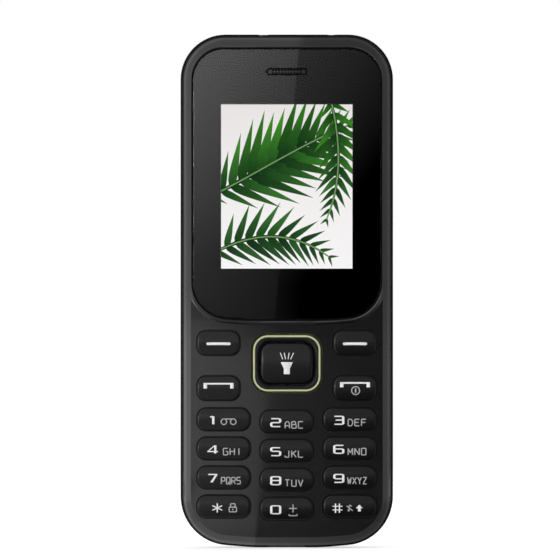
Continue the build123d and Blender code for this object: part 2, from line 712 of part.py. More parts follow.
def nav_key():
    """The four-way ring: rebated for its trim, sloped in to the middle key, with stems at top and bottom."""
    ring = slab(nav_shape(0), NAV_TOP + TRIM_HEIGHT, NAV_CAP_FAR)
    ring = ring + slab(nav_shape(-TRIM_WIDTH), NAV_TOP, NAV_TOP + TRIM_HEIGHT)
    ring = ring - slab(select_shape(SELECT_GAP), NAV_TOP, NAV_CAP_FAR)
    ring = chamfer(ring.faces().sort_by(Axis.Y)[0].inner_wires()[0].edges(), NAV_SLOPE)
    for x, z in NAV_END_PLACES:
        ring = ring + peg(x, z, NAV_STEM_RADIUS, NAV_CAP_FAR, NAV_STEM_TIP)
    return ring


def nav_trim_ring():
    """The coloured ring set into the edge of the four-way key."""
    trim = slab(nav_shape(0), NAV_TOP, NAV_TOP + TRIM_HEIGHT)
    trim = trim - slab(nav_shape(-TRIM_WIDTH), NAV_TOP, NAV_TOP + TRIM_HEIGHT)
    return fillet(trim.faces().sort_by(Axis.Y)[0].edges(), TRIM_EDGE)


def nav_pad():
    """The rocking pad under the four-way key, wider than its opening, with stems at left and right."""
    pad = slab(nav_shape(NAV_GAP + FLANGE_LIP), NAV_PAD_NEAR, NAV_PAD_FAR)
    pad = pad - slab(select_shape(SELECT_GAP), NAV_PAD_NEAR, NAV_PAD_FAR)
    for x, z in NAV_SIDE_PLACES:
        pad = pad + peg(x, z, NAV_STEM_RADIUS, NAV_PAD_FAR, NAV_STEM_TIP)
    for x, z in NAV_END_PLACES:
        pad = pad - peg(x, z, NAV_STEM_RADIUS + SHELL_FIT, NAV_PAD_NEAR, NAV_PAD_FAR)
    return pad


def bay_shape(grow):
    """The battery bay's outline, grown by an amount."""
    room = 2 * (BATTERY_FIT + grow)
    width, length = BATTERY_WIDTH + room, BATTERY_LENGTH + room
    return Pos(0, BATTERY_Z) * RectangleRounded(width, length, BATTERY_EDGE + grow)


def cover_tabs(fit):
    """The cover's locating tabs, or with a fit the slots they slide into."""
    near = SEAM - TAB_REACH - fit
    width, length = TAB_THICK + 2 * fit, TAB_LENGTH + 2 * fit
    return fused([block(x, z, width, length, near, COVER_INSIDE) for x, z in TAB_PLACES])


def grille_block(shrink, near, far):
    """The loudspeaker's opening in the middle shell, or what lies in it when shrunk."""
    width = SPEAKER_WIDTH - 2 * GRILLE_MARGIN - 2 * shrink
    height = SPEAKER_HEIGHT - 2 * GRILLE_MARGIN - 2 * shrink
    return block(SPEAKER_X, SPEAKER_Z, width, height, near, far, GRILLE_CORNER)


def back_rounded(tray, radius, height):
    """A tray with its back edges rounded, by no more than its own height allows."""
    return fillet(tray.faces().sort_by(Axis.Y)[-1].edges(), min(radius, height - LEAST_STRAIGHT))


def inner_round():
    """The round inside the cover's back edge, which leaves the cover one thickness."""
    return max(BACK_ROUND - COVER_WALL, LEAST_ROUND)


def motor_cradle():
    """The trough in the middle shell that the motor lies in."""
    width, height = MOTOR_LENGTH - 2 * CRADLE_SHORT, 2 * (MOTOR_RADIUS + CRADLE_WALL)
    trough = block(MOTOR_X, MOTOR_Z, width, height, MOTOR_DEPTH + CRADLE_WALL, ROOM_FAR)
    return trough - roll(MOTOR_X, MOTOR_Z, MOTOR_DEPTH, MOTOR_RADIUS + STOP_GAP, 2 * MOTOR_LENGTH)


def holder_windows():
    """The openings in the bay's floor over the card holders."""
    fit = 2 * HOLDER_FIT
    cuts = [block(x, z, SIM_WIDTH + fit, SIM_LENGTH + fit, PARTING, FLOOR_FAR) for x, z in SIM_PLACES]
    return fused(cuts + [block(CARD_X, CARD_Z, CARD_WIDTH + fit, CARD_WIDTH + fit, PARTING, FLOOR_FAR)])


def rear_housing():
    """The middle shell: outer band, battery bay, room for the sockets, screw posts and the camera's turret."""
    band = slab(outline(0), PARTING, SEAM)
    band = fillet(band.faces().sort_by(Axis.Y)[0].edges(), BAND_ROUND)
    plateau = back_rounded(slab(outline(PLATEAU_INSET), SEAM, PLATEAU), inner_round(), PLATEAU - SEAM)
    form = band + plateau - slab(outline(REAR_INSIDE), PARTING, FLOOR_NEAR)
    form = form - (slab(outline(ROOM_INSET), FLOOR_NEAR, ROOM_FAR) - slab(bay_shape(BAY_WALL), 0, BACK))
    inside = slab(outline(PLATEAU_INSET), PARTING, ROOM_FAR)
    for x, z in SCREWS:
        form = form + (peg(x, z, HEAD_RADIUS + SEAT_FIT + POST_WALL, PARTING, ROOM_FAR) & inside)
    form = form + motor_cradle() + peg(CAMERA_X, CAMERA_Z, TURRET_RADIUS, ROOM_FAR, TURRET_FAR)
    form = form - peg(CAMERA_X, CAMERA_Z, BARREL_RADIUS + SEAT_FIT, ROOM_FAR, BACK)
    form = form - peg(CAMERA_X, CAMERA_Z, PANE_RADIUS + SEAT_FIT, TURRET_FAR - PANE_THICK, BACK)
    form = form - slab(bay_shape(0), FLOOR_FAR, BACK) - holder_windows()
    socket_width, socket_length = SOCKET_WIDTH + 2 * HOLDER_FIT, SOCKET_LENGTH + 4 * HOLDER_FIT
    socket_far = BOARD_FAR + SOCKET_THICK + HOLDER_FIT
    form = form - block(0, SOCKET_Z, socket_width, socket_length, PARTING, socket_far)
    form = form - grille_block(0, ROOM_FAR, BACK)
    for x, z in SCREWS:
        form = form - peg(x, z, SCREW_RADIUS + SHELL_FIT, PARTING, BACK)
        form = form - peg(x, z, HEAD_RADIUS + SEAT_FIT, HEAD_NEAR, BACK)
    return form - cover_tabs(SHELL_FIT) - port_cuts()


def battery_cover():
    """The back cover: a shallow tray with a camera hole, sound slots, locating tabs and a nail notch."""
    near = SEAM + STOP_GAP
    tray = back_rounded(slab(outline(0), near, BACK), BACK_ROUND, BACK - near)
    hollow = back_rounded(slab(outline(COVER_WALL), SEAM, COVER_INSIDE), inner_round(), COVER_INSIDE - SEAM)
    tray = tray - hollow + cover_tabs(0)
    tray = tray - peg(CAMERA_X, CAMERA_Z, TURRET_RADIUS + SHELL_FIT, SEAM, BACK)
    width = SPEAKER_WIDTH - 2 * GRILLE_MARGIN
    pitch = (SPEAKER_HEIGHT - 2 * GRILLE_MARGIN) / SLOT_COUNT
    for index in range(SLOT_COUNT):
        z = SPEAKER_Z + (index - (SLOT_COUNT - 1) / 2) * pitch
        tray = tray - slab(Pos(SPEAKER_X, z) * SlotOverall(width, SLOT_HEIGHT), SEAM, BACK)
    notch = port(0, SEAM, NOTCH_WIDTH, NOTCH_HEIGHT, AHEAD, NOTCH_DEPTH, NOTCH_CORNER)
    return tray - notch - port_cuts()


def battery_part(low, high):
    """The battery between two heights, round at its corners."""
    whole = slab(bay_shape(-BATTERY_FIT), BATTERY_NEAR, BATTERY_FAR)
    return whole & block(0, (low + high) / 2, BATTERY_WIDTH, high - low, BATTERY_NEAR, BATTERY_FAR)


def battery_cell():
    """The battery's metal can."""
    return battery_part(BATTERY_LOW, BATTERY_HIGH - BATTERY_CAP)


def battery_cap():
    """The battery's plastic end, with a recess at each contact that is open to the front."""
    cap = battery_part(BATTERY_HIGH - BATTERY_CAP, BATTERY_HIGH)
    width, height = CONTACT_WIDTH + 2 * HOLDER_FIT, 2 * (CONTACT_REACH + SEAT_FIT)
    for x in CONTACT_PLACES:
        cap = cap - block(x, BATTERY_HIGH, width, height, BATTERY_NEAR, CONTACT_FAR + HOLDER_FIT)
    return cap


def battery_connector():
    """The block that carries the battery's contacts."""
    form = block(0, SOCKET_Z, SOCKET_WIDTH, SOCKET_LENGTH, BOARD_FAR, BOARD_FAR + SOCKET_THICK)
    for x in CONTACT_PLACES:
        form = form - block(x, SOCKET_Z, CONTACT_WIDTH, SOCKET_LENGTH, CONTACT_NEAR, CONTACT_FAR)
    return form


def battery_contacts():
    """The three sprung contacts that meet the battery."""
    low, high = BATTERY_HIGH - CONTACT_REACH, SOCKET_Z + SOCKET_LENGTH / 2
    width = CONTACT_WIDTH - 2 * STOP_GAP
    near, far = CONTACT_NEAR + STOP_GAP, CONTACT_FAR - STOP_GAP
    return [block(x, (low + high) / 2, width, high - low, near, far) for x in CONTACT_PLACES]


def card_holder(x, z, width, length):
    """A pressed card holder on the back of the board: a frame with a slot that opens downwards."""
    far = BOARD_FAR + SIM_THICK
    shell = block(x, z, width, length, BOARD_FAR, far, HOLDER_CORNER)
    slot_near, slot_far = BOARD_FAR + HOLDER_SHEET, far - HOLDER_SHEET
    slot = block(x, z - HOLDER_RAIL, width - 2 * HOLDER_RAIL, length, slot_near, slot_far)
    window = block(x, z, width - 2 * HOLDER_FRAME, length - 2 * HOLDER_FRAME, slot_near, far, HOLDER_RAIL)
    return shell - slot - window


def sim_holders():
    """The two larger card holders, side by side."""
    return [card_holder(x, z, SIM_WIDTH, SIM_LENGTH) for x, z in SIM_PLACES]


def memory_card_holder():
    """The small card holder above them."""
    return card_holder(CARD_X, CARD_Z, CARD_WIDTH, CARD_WIDTH)


def shield_can():
    """The metal lid over the radio parts."""
    far = BOARD_FAR + SHIELD_THICK
    lid = block(SHIELD_X, SHIELD_Z, SHIELD_WIDTH, SHIELD_LENGTH, BOARD_FAR, far, SHIELD_CORNER)
    width, length = SHIELD_WIDTH - 2 * SHIELD_SHEET, SHIELD_LENGTH - 2 * SHIELD_SHEET
    corner = SHIELD_CORNER - SHIELD_SHEET
    return lid - block(SHIELD_X, SHIELD_Z, width, length, BOARD_FAR, far - SHIELD_SHEET, corner)


def usb_shape(shrink):
    """The charging socket's mouth, narrower towards the back of the phone."""
    half, high = USB_WIDTH / 2 - shrink, USB_HEIGHT / 2 - shrink
    right = [(half, -high), (half, USB_BEVEL_START), (half - USB_BEVEL, high)]
    left = [(-x, y) for x, y in reversed(right)]
    return Pos(0, USB_DEPTH - MIDDLE, USB_SINK) * make_face(Polyline(*right, *left, close=True))


def usb_socket_shell():
    """The metal sleeve of the charging socket."""
    sleeve = extrude(usb_shape(0), amount=USB_LENGTH)
    return sleeve - extrude(usb_shape(USB_SHEET), amount=USB_LENGTH - USB_SHEET)


def usb_tongue():
    """The contact tongue inside the charging socket."""
    low, high = USB_SINK + TONGUE_SINK, USB_SINK + USB_LENGTH - USB_SHEET
    width = USB_WIDTH - 2 * TONGUE_MARGIN
    return port(0, USB_DEPTH - TONGUE_OFFSET, width, TONGUE_THICK, low, high, TONGUE_CORNER)


def audio_jack():
    """The headphone socket: a block on the board and a barrel through the top wall, bored for the plug."""
    low, step = BODY_LENGTH - JACK_LENGTH, BODY_LENGTH - JACK_STEP
    far = BOARD_FAR + 2 * JACK_HALF
    form = block(JACK_X, (low + step) / 2, JACK_WIDTH, step - low, BOARD_FAR, far, JACK_CORNER)
    form = form + riser(JACK_X, JACK_DEPTH, JACK_BARREL, step, BODY_LENGTH - SEAT_FIT)
    return form - riser(JACK_X, JACK_DEPTH, JACK_BORE, low + JACK_END, BODY_LENGTH)


def loudspeaker():
    """The ringing speaker on the middle shell's back wall."""
    near = ROOM_FAR - SPEAKER_THICK
    body = block(SPEAKER_X, SPEAKER_Z, SPEAKER_WIDTH, SPEAKER_HEIGHT, near, ROOM_FAR, SPEAKER_CORNER)
    return body - grille_block(GRILLE_RIM, ROOM_FAR - SPEAKER_DISH, ROOM_FAR)


def loudspeaker_mesh():
    """The dust mesh in the loudspeaker's opening."""
    return grille_block(STOP_GAP, PLATEAU - GRILLE_THICK, PLATEAU)


def vibration_motor():
    """The motor's can, bored for its shaft."""
    can = roll(MOTOR_X, MOTOR_Z, MOTOR_DEPTH, MOTOR_RADIUS, MOTOR_LENGTH)
    return can - roll(MOTOR_X - MOTOR_LENGTH / 2, MOTOR_Z, MOTOR_DEPTH, SHAFT_RADIUS + SHAFT_GAP, MOTOR_LENGTH)


def motor_weight():
    """The off-centre weight on the motor's shaft, hanging at rest."""
    end = MOTOR_X - MOTOR_LENGTH / 2
    low, high = end - WEIGHT_GAP - WEIGHT_LENGTH, MOTOR_X - SHAFT_END
    x = low + WEIGHT_LENGTH / 2
    disc = roll(x, MOTOR_Z, MOTOR_DEPTH, WEIGHT_RADIUS, WEIGHT_LENGTH)
    lower = block(x, MOTOR_Z - WEIGHT_RADIUS, 2 * WEIGHT_LENGTH, 2 * WEIGHT_RADIUS, 0, BACK)
    return (disc & lower) + roll((low + high) / 2, MOTOR_Z, MOTOR_DEPTH, SHAFT_RADIUS, high - low)


def microphone():
    """The microphone capsule on the board."""
    return peg(MIC_X, MIC_RISE, MIC_RADIUS, BOARD_FAR, BOARD_FAR + MIC_THICK)


def microphone_boot():
    """The rubber boot that leads sound from the end wall to the microphone."""
    size = 2 * (MIC_RADIUS + BOOT_WALL)
    boot = block(MIC_X, MIC_RISE, size, size, BOARD_FAR, FLOOR_NEAR - SEAT_FIT, BOOT_CORNER)
    boot = boot - peg(MIC_X, MIC_RISE, MIC_RADIUS + STOP_GAP, BOARD_FAR, BOARD_FAR + MIC_THICK + STOP_GAP)
    return boot - riser(MIC_X, BOARD_FAR + BOOT_TUBE_DEPTH, BOOT_TUBE, 0, MIC_RISE)


def torch_led():
    """The torch's lamp on the edge of the board."""
    z = BODY_LENGTH - TORCH_LENGTH - SEAT_FIT - TORCH_LED_LENGTH / 2
    return block(TORCH_X, z, TORCH_LED_WIDTH, TORCH_LED_LENGTH, BOARD_FAR, BOARD_FAR + TORCH_LED_HEIGHT)


def torch_lens():
    """The torch's clear lens in the top wall."""
    lens = riser(TORCH_X, TORCH_CENTRE, TORCH_RADIUS, BODY_LENGTH - TORCH_LENGTH, BODY_LENGTH - SEAT_FIT)
    return fillet(lens.faces().sort_by(Axis.Z)[-1].edges(), TORCH_EDGE)


def camera_module():
    """The camera: a square base on the board and a round barrel up to the pane."""
    step, tip = BOARD_FAR + CAMERA_BASE, TURRET_FAR - PANE_THICK - SEAT_FIT
    base = block(CAMERA_X, CAMERA_Z, CAMERA_SIZE, CAMERA_SIZE, BOARD_FAR, step, CAMERA_CORNER)
    barrel = peg(CAMERA_X, CAMERA_Z, BARREL_RADIUS, step, tip)
    return base + barrel - peg(CAMERA_X, CAMERA_Z, IRIS_RADIUS, tip - IRIS_DEPTH, tip)


def camera_window():
    """The clear pane over the camera, set in the turret."""
    return peg(CAMERA_X, CAMERA_Z, PANE_RADIUS, TURRET_FAR - PANE_THICK, TURRET_FAR)


def gsm_antenna():
    """The stamped aerial on the lower end of the middle shell, under the cover."""
    far, reach = PLATEAU + ANTENNA_THICK, ANTENNA_HEIGHT - ANTENNA_TRACK
    middle = ANTENNA_RISE + ANTENNA_HEIGHT / 2
    heights = [middle - reach / 2, middle + reach / 2]
    rows = [block(0, z, ANTENNA_WIDTH, ANTENNA_TRACK, PLATEAU, far) for z in heights]
    left = (ANTENNA_TRACK - ANTENNA_WIDTH) / 2
    posts = [block(x, middle, ANTENNA_TRACK, ANTENNA_HEIGHT, PLATEAU, far) for x in (left, 0)]
    return fused(rows + posts)


def housing_screws():
    """The screws that draw the two shells together."""
    far = HEAD_NEAR + HEAD_HEIGHT
    screws = []
    for x, z in SCREWS:
        head = peg(x, z, HEAD_RADIUS, HEAD_NEAR, far)
        slot = block(x, z, CROSS_LENGTH, CROSS_WIDTH, far - CROSS_DEPTH, far)
        cross = block(x, z, CROSS_WIDTH, CROSS_LENGTH, far - CROSS_DEPTH, far)
        screws.append(head - slot - cross + peg(x, z, SCREW_RADIUS, HEAD_NEAR - SCREW_LENGTH, HEAD_NEAR))
    return screws


MAKERS = [
    front_housing,
    display_window,
    window_mask,
    earpiece_mesh,
    display_gasket,
    lcd_panel,
    lcd_frame,
    display_flex,
    earpiece_receiver,
    keypad_mat,
    dome_sheet,
    snap_domes,
    keypad_leds,
    main_board,
    select_key,
    nav_key,
    nav_trim_ring,
    nav_pad,
    rear_housing,
    battery_cover,
    battery_cell,
    battery_cap,
    battery_connector,
    battery_contacts,
    sim_holders,
    memory_card_holder,
    shield_can,
    usb_socket_shell,
    usb_tongue,
    audio_jack,
    loudspeaker,
    loudspeaker_mesh,
    vibration_motor,
    motor_weight,
    microphone,
    microphone_boot,
    torch_led,
    torch_lens,
    camera_module,
    camera_window,
    gsm_antenna,
    housing_screws,
]

os.makedirs("parts", exist_ok=True)
pieces = {maker.__name__: maker() for maker in MAKERS}
digit_key = pressed_key(digit_shape)
soft_key = pressed_key(soft_shape)
for name, (x, z) in DIGIT_PLACES.items():
    pieces[name] = Pos(x, 0, z) * digit_key
for name, (x, z) in SOFT_PLACES.items():
    pieces[name] = Pos(x, 0, z) * soft_key
for name, piece in pieces.items():
    shapes = piece if isinstance(piece, list) else [piece]
    export_step(Compound([solid for shape in shapes for solid in shape.solids()]), f"parts/{name}.step")
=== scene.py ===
# %% [markdown]
# A bar-shaped phone with a keypad. The packed solids are the real pieces of the phone, each already in its
# place, in metres. This notebook gives them their looks: finishes for every piece, the printed marks on the
# keys, the picture on the display, and the light of the studio. Nothing here moves a solid.

# %% Load the packed phone
import json
import math
from collections import namedtuple

import bmesh
import bpy
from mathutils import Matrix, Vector


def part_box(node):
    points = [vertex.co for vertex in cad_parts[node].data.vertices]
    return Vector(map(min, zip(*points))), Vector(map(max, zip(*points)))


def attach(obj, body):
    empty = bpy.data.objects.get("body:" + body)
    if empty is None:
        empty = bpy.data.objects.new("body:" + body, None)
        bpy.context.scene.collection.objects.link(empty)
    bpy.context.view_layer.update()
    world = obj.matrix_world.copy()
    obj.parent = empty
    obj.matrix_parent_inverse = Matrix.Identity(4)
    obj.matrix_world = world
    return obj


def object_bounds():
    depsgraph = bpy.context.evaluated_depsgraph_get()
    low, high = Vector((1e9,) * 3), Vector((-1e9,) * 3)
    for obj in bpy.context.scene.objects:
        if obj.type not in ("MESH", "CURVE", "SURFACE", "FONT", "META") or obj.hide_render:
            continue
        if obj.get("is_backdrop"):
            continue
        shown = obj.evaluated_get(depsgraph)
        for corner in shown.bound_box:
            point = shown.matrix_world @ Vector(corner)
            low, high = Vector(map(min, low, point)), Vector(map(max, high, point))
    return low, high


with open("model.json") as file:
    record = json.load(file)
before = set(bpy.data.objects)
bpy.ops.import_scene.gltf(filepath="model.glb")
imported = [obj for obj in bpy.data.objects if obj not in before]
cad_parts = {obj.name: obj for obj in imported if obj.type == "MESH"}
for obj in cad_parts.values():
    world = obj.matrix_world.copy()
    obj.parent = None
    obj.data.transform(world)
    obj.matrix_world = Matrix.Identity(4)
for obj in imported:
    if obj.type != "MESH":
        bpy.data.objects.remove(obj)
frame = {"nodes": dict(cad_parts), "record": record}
cad_low, cad_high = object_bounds()
nodes = frame["nodes"]
MM = 0.001


def in_mm(lengths):
    """Lengths in millimetres, rounded for printing."""
    return [round(length / MM, 2) for length in lengths]


print("pieces:", len(nodes), "size in mm:", in_mm(cad_high - cad_low))

# %% [markdown]
# The picture was taken square on from far away, so near and far edges keep almost the same scale. A long
# lens three metres away gives that. The width of the picture is stated at the phone's face, and the lens
# follows from it.

# %% Camera
PICTURE_WIDTH = 119.5 * MM
CAMERA_AWAY = 3000 * MM
AIM_X = -1.45 * MM
AIM_Z = 57.14 * MM
SENSOR_WIDTH = 36.0
FARTHEST_SEEN = 20.0


def in_scene(name, data):
    """A new object in the scene."""
    piece = bpy.data.objects.new(name, data)
    bpy.context.scene.collection.objects.link(piece)
    return piece


camera_data = bpy.data.cameras.new("camera")
camera_data.sensor_width = SENSOR_WIDTH
camera_data.lens = SENSOR_WIDTH * CAMERA_AWAY / PICTURE_WIDTH
camera_data.clip_end = FARTHEST_SEEN
camera = in_scene("camera", camera_data)
camera.location = (AIM_X, cad_low.y - CAMERA_AWAY, AIM_Z)
camera.rotation_euler = (math.radians(90), 0, 0)
bpy.context.scene.camera = camera
bpy.context.scene.view_settings.view_transform = "Standard"
print("lens in mm:", round(camera_data.lens, 1))

# %% [markdown]
# Finishes and Geometry Nodes are both trees of nodes. They could be written node by node and link by link,
# but that hides what they work out. Here, what a node puts out is wrapped as a value that takes plain
# arithmetic: a formula is written as a formula, and each sign in it adds one Math node.


# %% Values that a node tree works out
def feed(node, inputs):
    """Gives a node its inputs: what other nodes put out is linked, anything else is set."""
    for key, given in inputs.items():
        for value in given if isinstance(given, list) else [given]:
            if isinstance(value, Value):
                node.id_data.links.new(value.socket, node.inputs[key])
            else:
                node.inputs[key].default_value = value


def add(tree, kind, inputs=None, **settings):
    """Adds a node with its settings and inputs, and returns what it puts out first."""
    node = tree.nodes.new(kind)
    for name, setting in settings.items():
        setattr(node, name, setting)
    feed(node, inputs or {})
    return Value(node.outputs[0])


def step(operation, swapped=False):
    """A method that adds one step of arithmetic."""

    def method(first, second=0.0):
        pair = (second, first) if swapped else (first, second)
        return add(first.tree, "ShaderNodeMath", dict(enumerate(pair)), operation=operation)

    return method


class Value:
    """What a node puts out. A name or number in brackets picks another output of the same node."""

    def __init__(self, socket):
        self.socket = socket
        self.tree = socket.id_data

    def __getitem__(self, output):
        return Value(self.socket.node.outputs[output])

    __add__ = step("ADD")
    __sub__ = step("SUBTRACT")
    __rsub__ = step("SUBTRACT", swapped=True)
    __mul__ = step("MULTIPLY")
    __truediv__ = step("DIVIDE")
    __rtruediv__ = step("DIVIDE", swapped=True)
    __pow__ = step("POWER")
    __abs__ = step("ABSOLUTE")
    __gt__ = step("GREATER_THAN")
    __lt__ = step("LESS_THAN")
    at_least = step("MAXIMUM")
    at_most = step("MINIMUM")
    angle_over = step("ARCTAN2")
    logarithm = step("LOGARITHM")
    root = step("SQRT")
    sine = step("SINE")
    fraction = step("FRACT")


print("steps with a name:", [name for name in vars(Value) if not name.startswith("_")])

# %% [markdown]
# What several pieces share is a node group, built once. This helper opens an empty one with named inputs
# and outputs. An input is given as its usual value, which tells the kind of its socket, or as the kind
# itself where it has no usual value.

# %% Groups with named sockets
FLOAT = "NodeSocketFloat"
SOCKETS = {float: FLOAT, int: "NodeSocketInt", tuple: "NodeSocketVector"}


def new_group(name, kind, inputs, outputs):
    """An empty node group with named sockets: its tree, what it is given and its end."""
    tree = bpy.data.node_groups.new(name, kind)
    for label, value in inputs.items():
        bare = isinstance(value, str)
        socket_type = value if bare else SOCKETS[type(value)]
        socket = tree.interface.new_socket(label, in_out="INPUT", socket_type=socket_type)
        if not bare:
            socket.default_value = value
    for label, socket_type in outputs.items():
        tree.interface.new_socket(label, in_out="OUTPUT", socket_type=socket_type)
    return tree, add(tree, "NodeGroupInput"), tree.nodes.new("NodeGroupOutput")


def inputs_of(tree):
    """The inputs of a tree, to set or to print."""
    return [item for item in tree.interface.items_tree if item.in_out == "INPUT"]


def tell(tree):
    """Prints what a group takes."""
    print(tree.name, "takes:", [item.name for item in inputs_of(tree)])


print("kinds of usual value:", [kind.__name__ for kind in SOCKETS])

# %% [markdown]
# Four effects come back in many finishes, and each is a shader group, so that its sizes can be set for
# every piece that carries it. The first is the grain of moulded plastic, which copies the spark-eroded
# surface of its tool, with a colour that drifts a little over a few millimetres. An image could hold it,
# but noise has no seams and never repeats.

# %% Grain of moulded plastic
SHADER_TREE = "ShaderNodeTree"


def noise(tree, size, detail, distortion=0.0):
    """Noise in the phone's own frame, with patches of a size."""
    place = add(tree, "ShaderNodeTexCoord")["Object"]
    looks = {"Vector": place, "Scale": 1.0 / size, "Detail": detail, "Distortion": distortion}
    return add(tree, "ShaderNodeTexNoise", looks)["Fac"]


def mould_grain():
    """Fine grain from the tool and a slow drift of colour."""
    inputs = {"Grain": 0.1 * MM, "Drift": 9 * MM}
    tree, given, end = new_group("mould_grain", SHADER_TREE, inputs, {"Height": FLOAT, "Drift": FLOAT})
    feed(end, {"Height": noise(tree, given["Grain"], detail=3.0)})
    feed(end, {"Drift": noise(tree, given["Drift"], detail=4.0)})
    return tree


GRAIN = mould_grain()
tell(GRAIN)

# %% [markdown]
# Hands leave a faint haze on gloss, in soft patches. Corners that rub in a pocket turn paler. They could be
# painted one by one, but a Bevel node finds them: it rounds the normal near a corner, and where that
# differs from the real normal, a corner is close.

# %% Haze from hands, and rubbed corners
HAZE_FROM, HAZE_GAIN = 0.48, 4.0
RUB_GAIN = 3.0


def hand_haze():
    """Soft patches and fine specks that dull a gloss."""
    inputs = {"Patch": 12 * MM, "Amount": 0.05}
    tree, given, end = new_group("hand_haze", SHADER_TREE, inputs, {"Haze": FLOAT})
    patches = noise(tree, given["Patch"], detail=6.0, distortion=0.6)
    feed(end, {"Haze": (patches - HAZE_FROM).at_least(0.0) * HAZE_GAIN * given["Amount"]})
    return tree


def edge_rub():
    """A mask that is strongest where a corner turns, broken up by noise."""
    inputs = {"Width": 0.15 * MM, "Break up": 1.5 * MM}
    tree, given, end = new_group("edge_rub", SHADER_TREE, inputs, {"Rub": FLOAT})
    rounded = add(tree, "ShaderNodeBevel", {"Radius": given["Width"]}, samples=4)
    facing = add(tree, "ShaderNodeNewGeometry")["Normal"]
    agree = add(tree, "ShaderNodeVectorMath", {0: rounded, 1: facing}, operation="DOT_PRODUCT")["Value"]
    rub = (1.0 - agree) * RUB_GAIN * noise(tree, given["Break up"], detail=5.0)
    feed(end, {"Rub": rub.at_least(0.0).at_most(1.0)})
    return tree


HAZE, RUB = hand_haze(), edge_rub()
tell(HAZE)
tell(RUB)

# %% [markdown]
# Rolled sheet metal has fine streaks one way, which stretch its highlights. Noise gives them too, squeezed
# across the streaks and drawn out along them.


# %% Streaks of sheet metal
def sheet_streaks():
    """The fine streaks of rolled sheet metal, along Z."""
    inputs = {"Streak": 0.05 * MM, "Length": 4 * MM}
    tree, given, end = new_group("sheet_streaks", SHADER_TREE, inputs, {"Height": FLOAT})
    across = 1.0 / given["Streak"]
    scale = add(tree, "ShaderNodeCombineXYZ", {"X": across, "Y": across, "Z": 1.0 / given["Length"]})
    place = add(tree, "ShaderNodeTexCoord")["Object"]
    stretched = add(tree, "ShaderNodeVectorMath", {0: place, 1: scale}, operation="MULTIPLY")
    looks = {"Vector": stretched, "Scale": 1.0, "Detail": 2.0}
    feed(end, {"Height": add(tree, "ShaderNodeTexNoise", looks)["Fac"]})
    return tree


STREAKS = sheet_streaks()
tell(STREAKS)

# %% [markdown]
# A finish starts from the physics: plastics differ in grain, roughness and whether a clear coat lies on
# top, metals in colour and streaks. All of them are put together from the same few steps: a group placed in
# the material, a colour between two, a roughness with haze on it, and a normal tipped by a height.


# %% Steps of a finish
def use(tree, group, **inputs):
    """A shader group placed in a material."""
    return add(tree, "ShaderNodeGroup", inputs, node_tree=group)


def new_finish(name):
    """A material with a bare Principled shader."""
    material = bpy.data.materials.new(name)
    material.use_nodes = True
    return material, material.node_tree, material.node_tree.nodes["Principled BSDF"]


def toned(colour, share, lift=0.0):
    """A colour made darker or paler."""
    return tuple(min(1.0, share * part + lift) for part in colour)


def mixed(mask, first, second):
    """A colour between two, by a mask."""
    pair = [colour if isinstance(colour, Value) else (*colour, 1.0) for colour in (first, second)]
    inputs = {"Factor": mask, 6: pair[0], 7: pair[1]}
    return add(mask.tree, "ShaderNodeMix", inputs, data_type="RGBA")[2]


def hazed(tree, rough, amount):
    """A roughness that hands have dulled in patches."""
    return use(tree, HAZE, Amount=amount)["Haze"] + rough


def bumped(height, strength, distance):
    """A normal tipped by a height."""
    inputs = {"Height": height, "Strength": strength, "Distance": distance}
    return add(height.tree, "ShaderNodeBump", inputs)


print("steps of a finish:", [helper.__name__ for helper in (use, mixed, hazed, bumped)])

# %% [markdown]
# Most of the phone is moulded plastic, so it has a maker, and a named finish is one call with its own
# sizes. Black plastic is never quite black: its base is about one percent, and most of what we see on it is
# the room, mirrored in the coat.

# %% Moulded plastic
COLOUR_DRIFT, DRIFT_SHARE = 9 * MM, 0.5
DARKER, PALER = 0.8, 1.25
RUBBED, RUBBED_LIFT = 1.7, 0.012
PLASTIC_HAZE = 0.05


def plastic(
    name, colour, rough, grain=0.12 * MM, relief=0.12, shine=0.5, coat=0.0, coat_rough=0.03, rub=0.5
):
    """Moulded plastic: grain in its surface, hazed by hands, paler where corners rub."""
    material, tree, shader = new_finish(name)
    surface = use(tree, GRAIN, Grain=grain, Drift=COLOUR_DRIFT)
    base = mixed(surface["Drift"] * DRIFT_SHARE, toned(colour, DARKER), toned(colour, PALER))
    looks = {
        "Base Color": mixed(use(tree, RUB)["Rub"] * rub, base, toned(colour, RUBBED, RUBBED_LIFT)),
        "Roughness": hazed(tree, rough, PLASTIC_HAZE),
        "Normal": bumped(surface["Height"], relief, grain),
        "Specular IOR Level": shine,
        "Coat Weight": coat,
        "Coat Roughness": coat_rough,
    }
    feed(shader, looks)
    return material


print("plastic drifts in colour over mm:", in_mm([COLOUR_DRIFT]))

# %% [markdown]
# Metal has the streaks of its sheet instead of a grain, and its colour lies in what it mirrors, so Metallic
# is one. Acrylic and resin let light through. They are as smooth as their tool, with a faint haze from
# hands.

# %% Metal, acrylic and resin
BETWEEN_STREAKS = 0.72
METAL_HAZE, GLASS_HAZE = 0.12, 0.004


def metal(name, colour, rough, streak=0.05 * MM, relief=0.15):
    """Sheet or drawn metal: fine streaks that stretch its highlights."""
    material, tree, shader = new_finish(name)
    lines = use(tree, STREAKS, Streak=streak)["Height"]
    looks = {
        "Base Color": mixed(lines, toned(colour, BETWEEN_STREAKS), colour),
        "Roughness": hazed(tree, rough, METAL_HAZE),
        "Normal": bumped(lines, relief, streak),
        "Metallic": 1.0,
    }
    feed(shader, looks)
    return material


def clear(name, colour, rough, index):
    """Clear acrylic or glass: smooth, with a faint haze from hands."""
    material, tree, shader = new_finish(name)
    feed(shader, {"Base Color": (*colour, 1.0), "Roughness": hazed(tree, rough, GLASS_HAZE)})
    feed(shader, {"Transmission Weight": 1.0, "IOR": index})
    return material


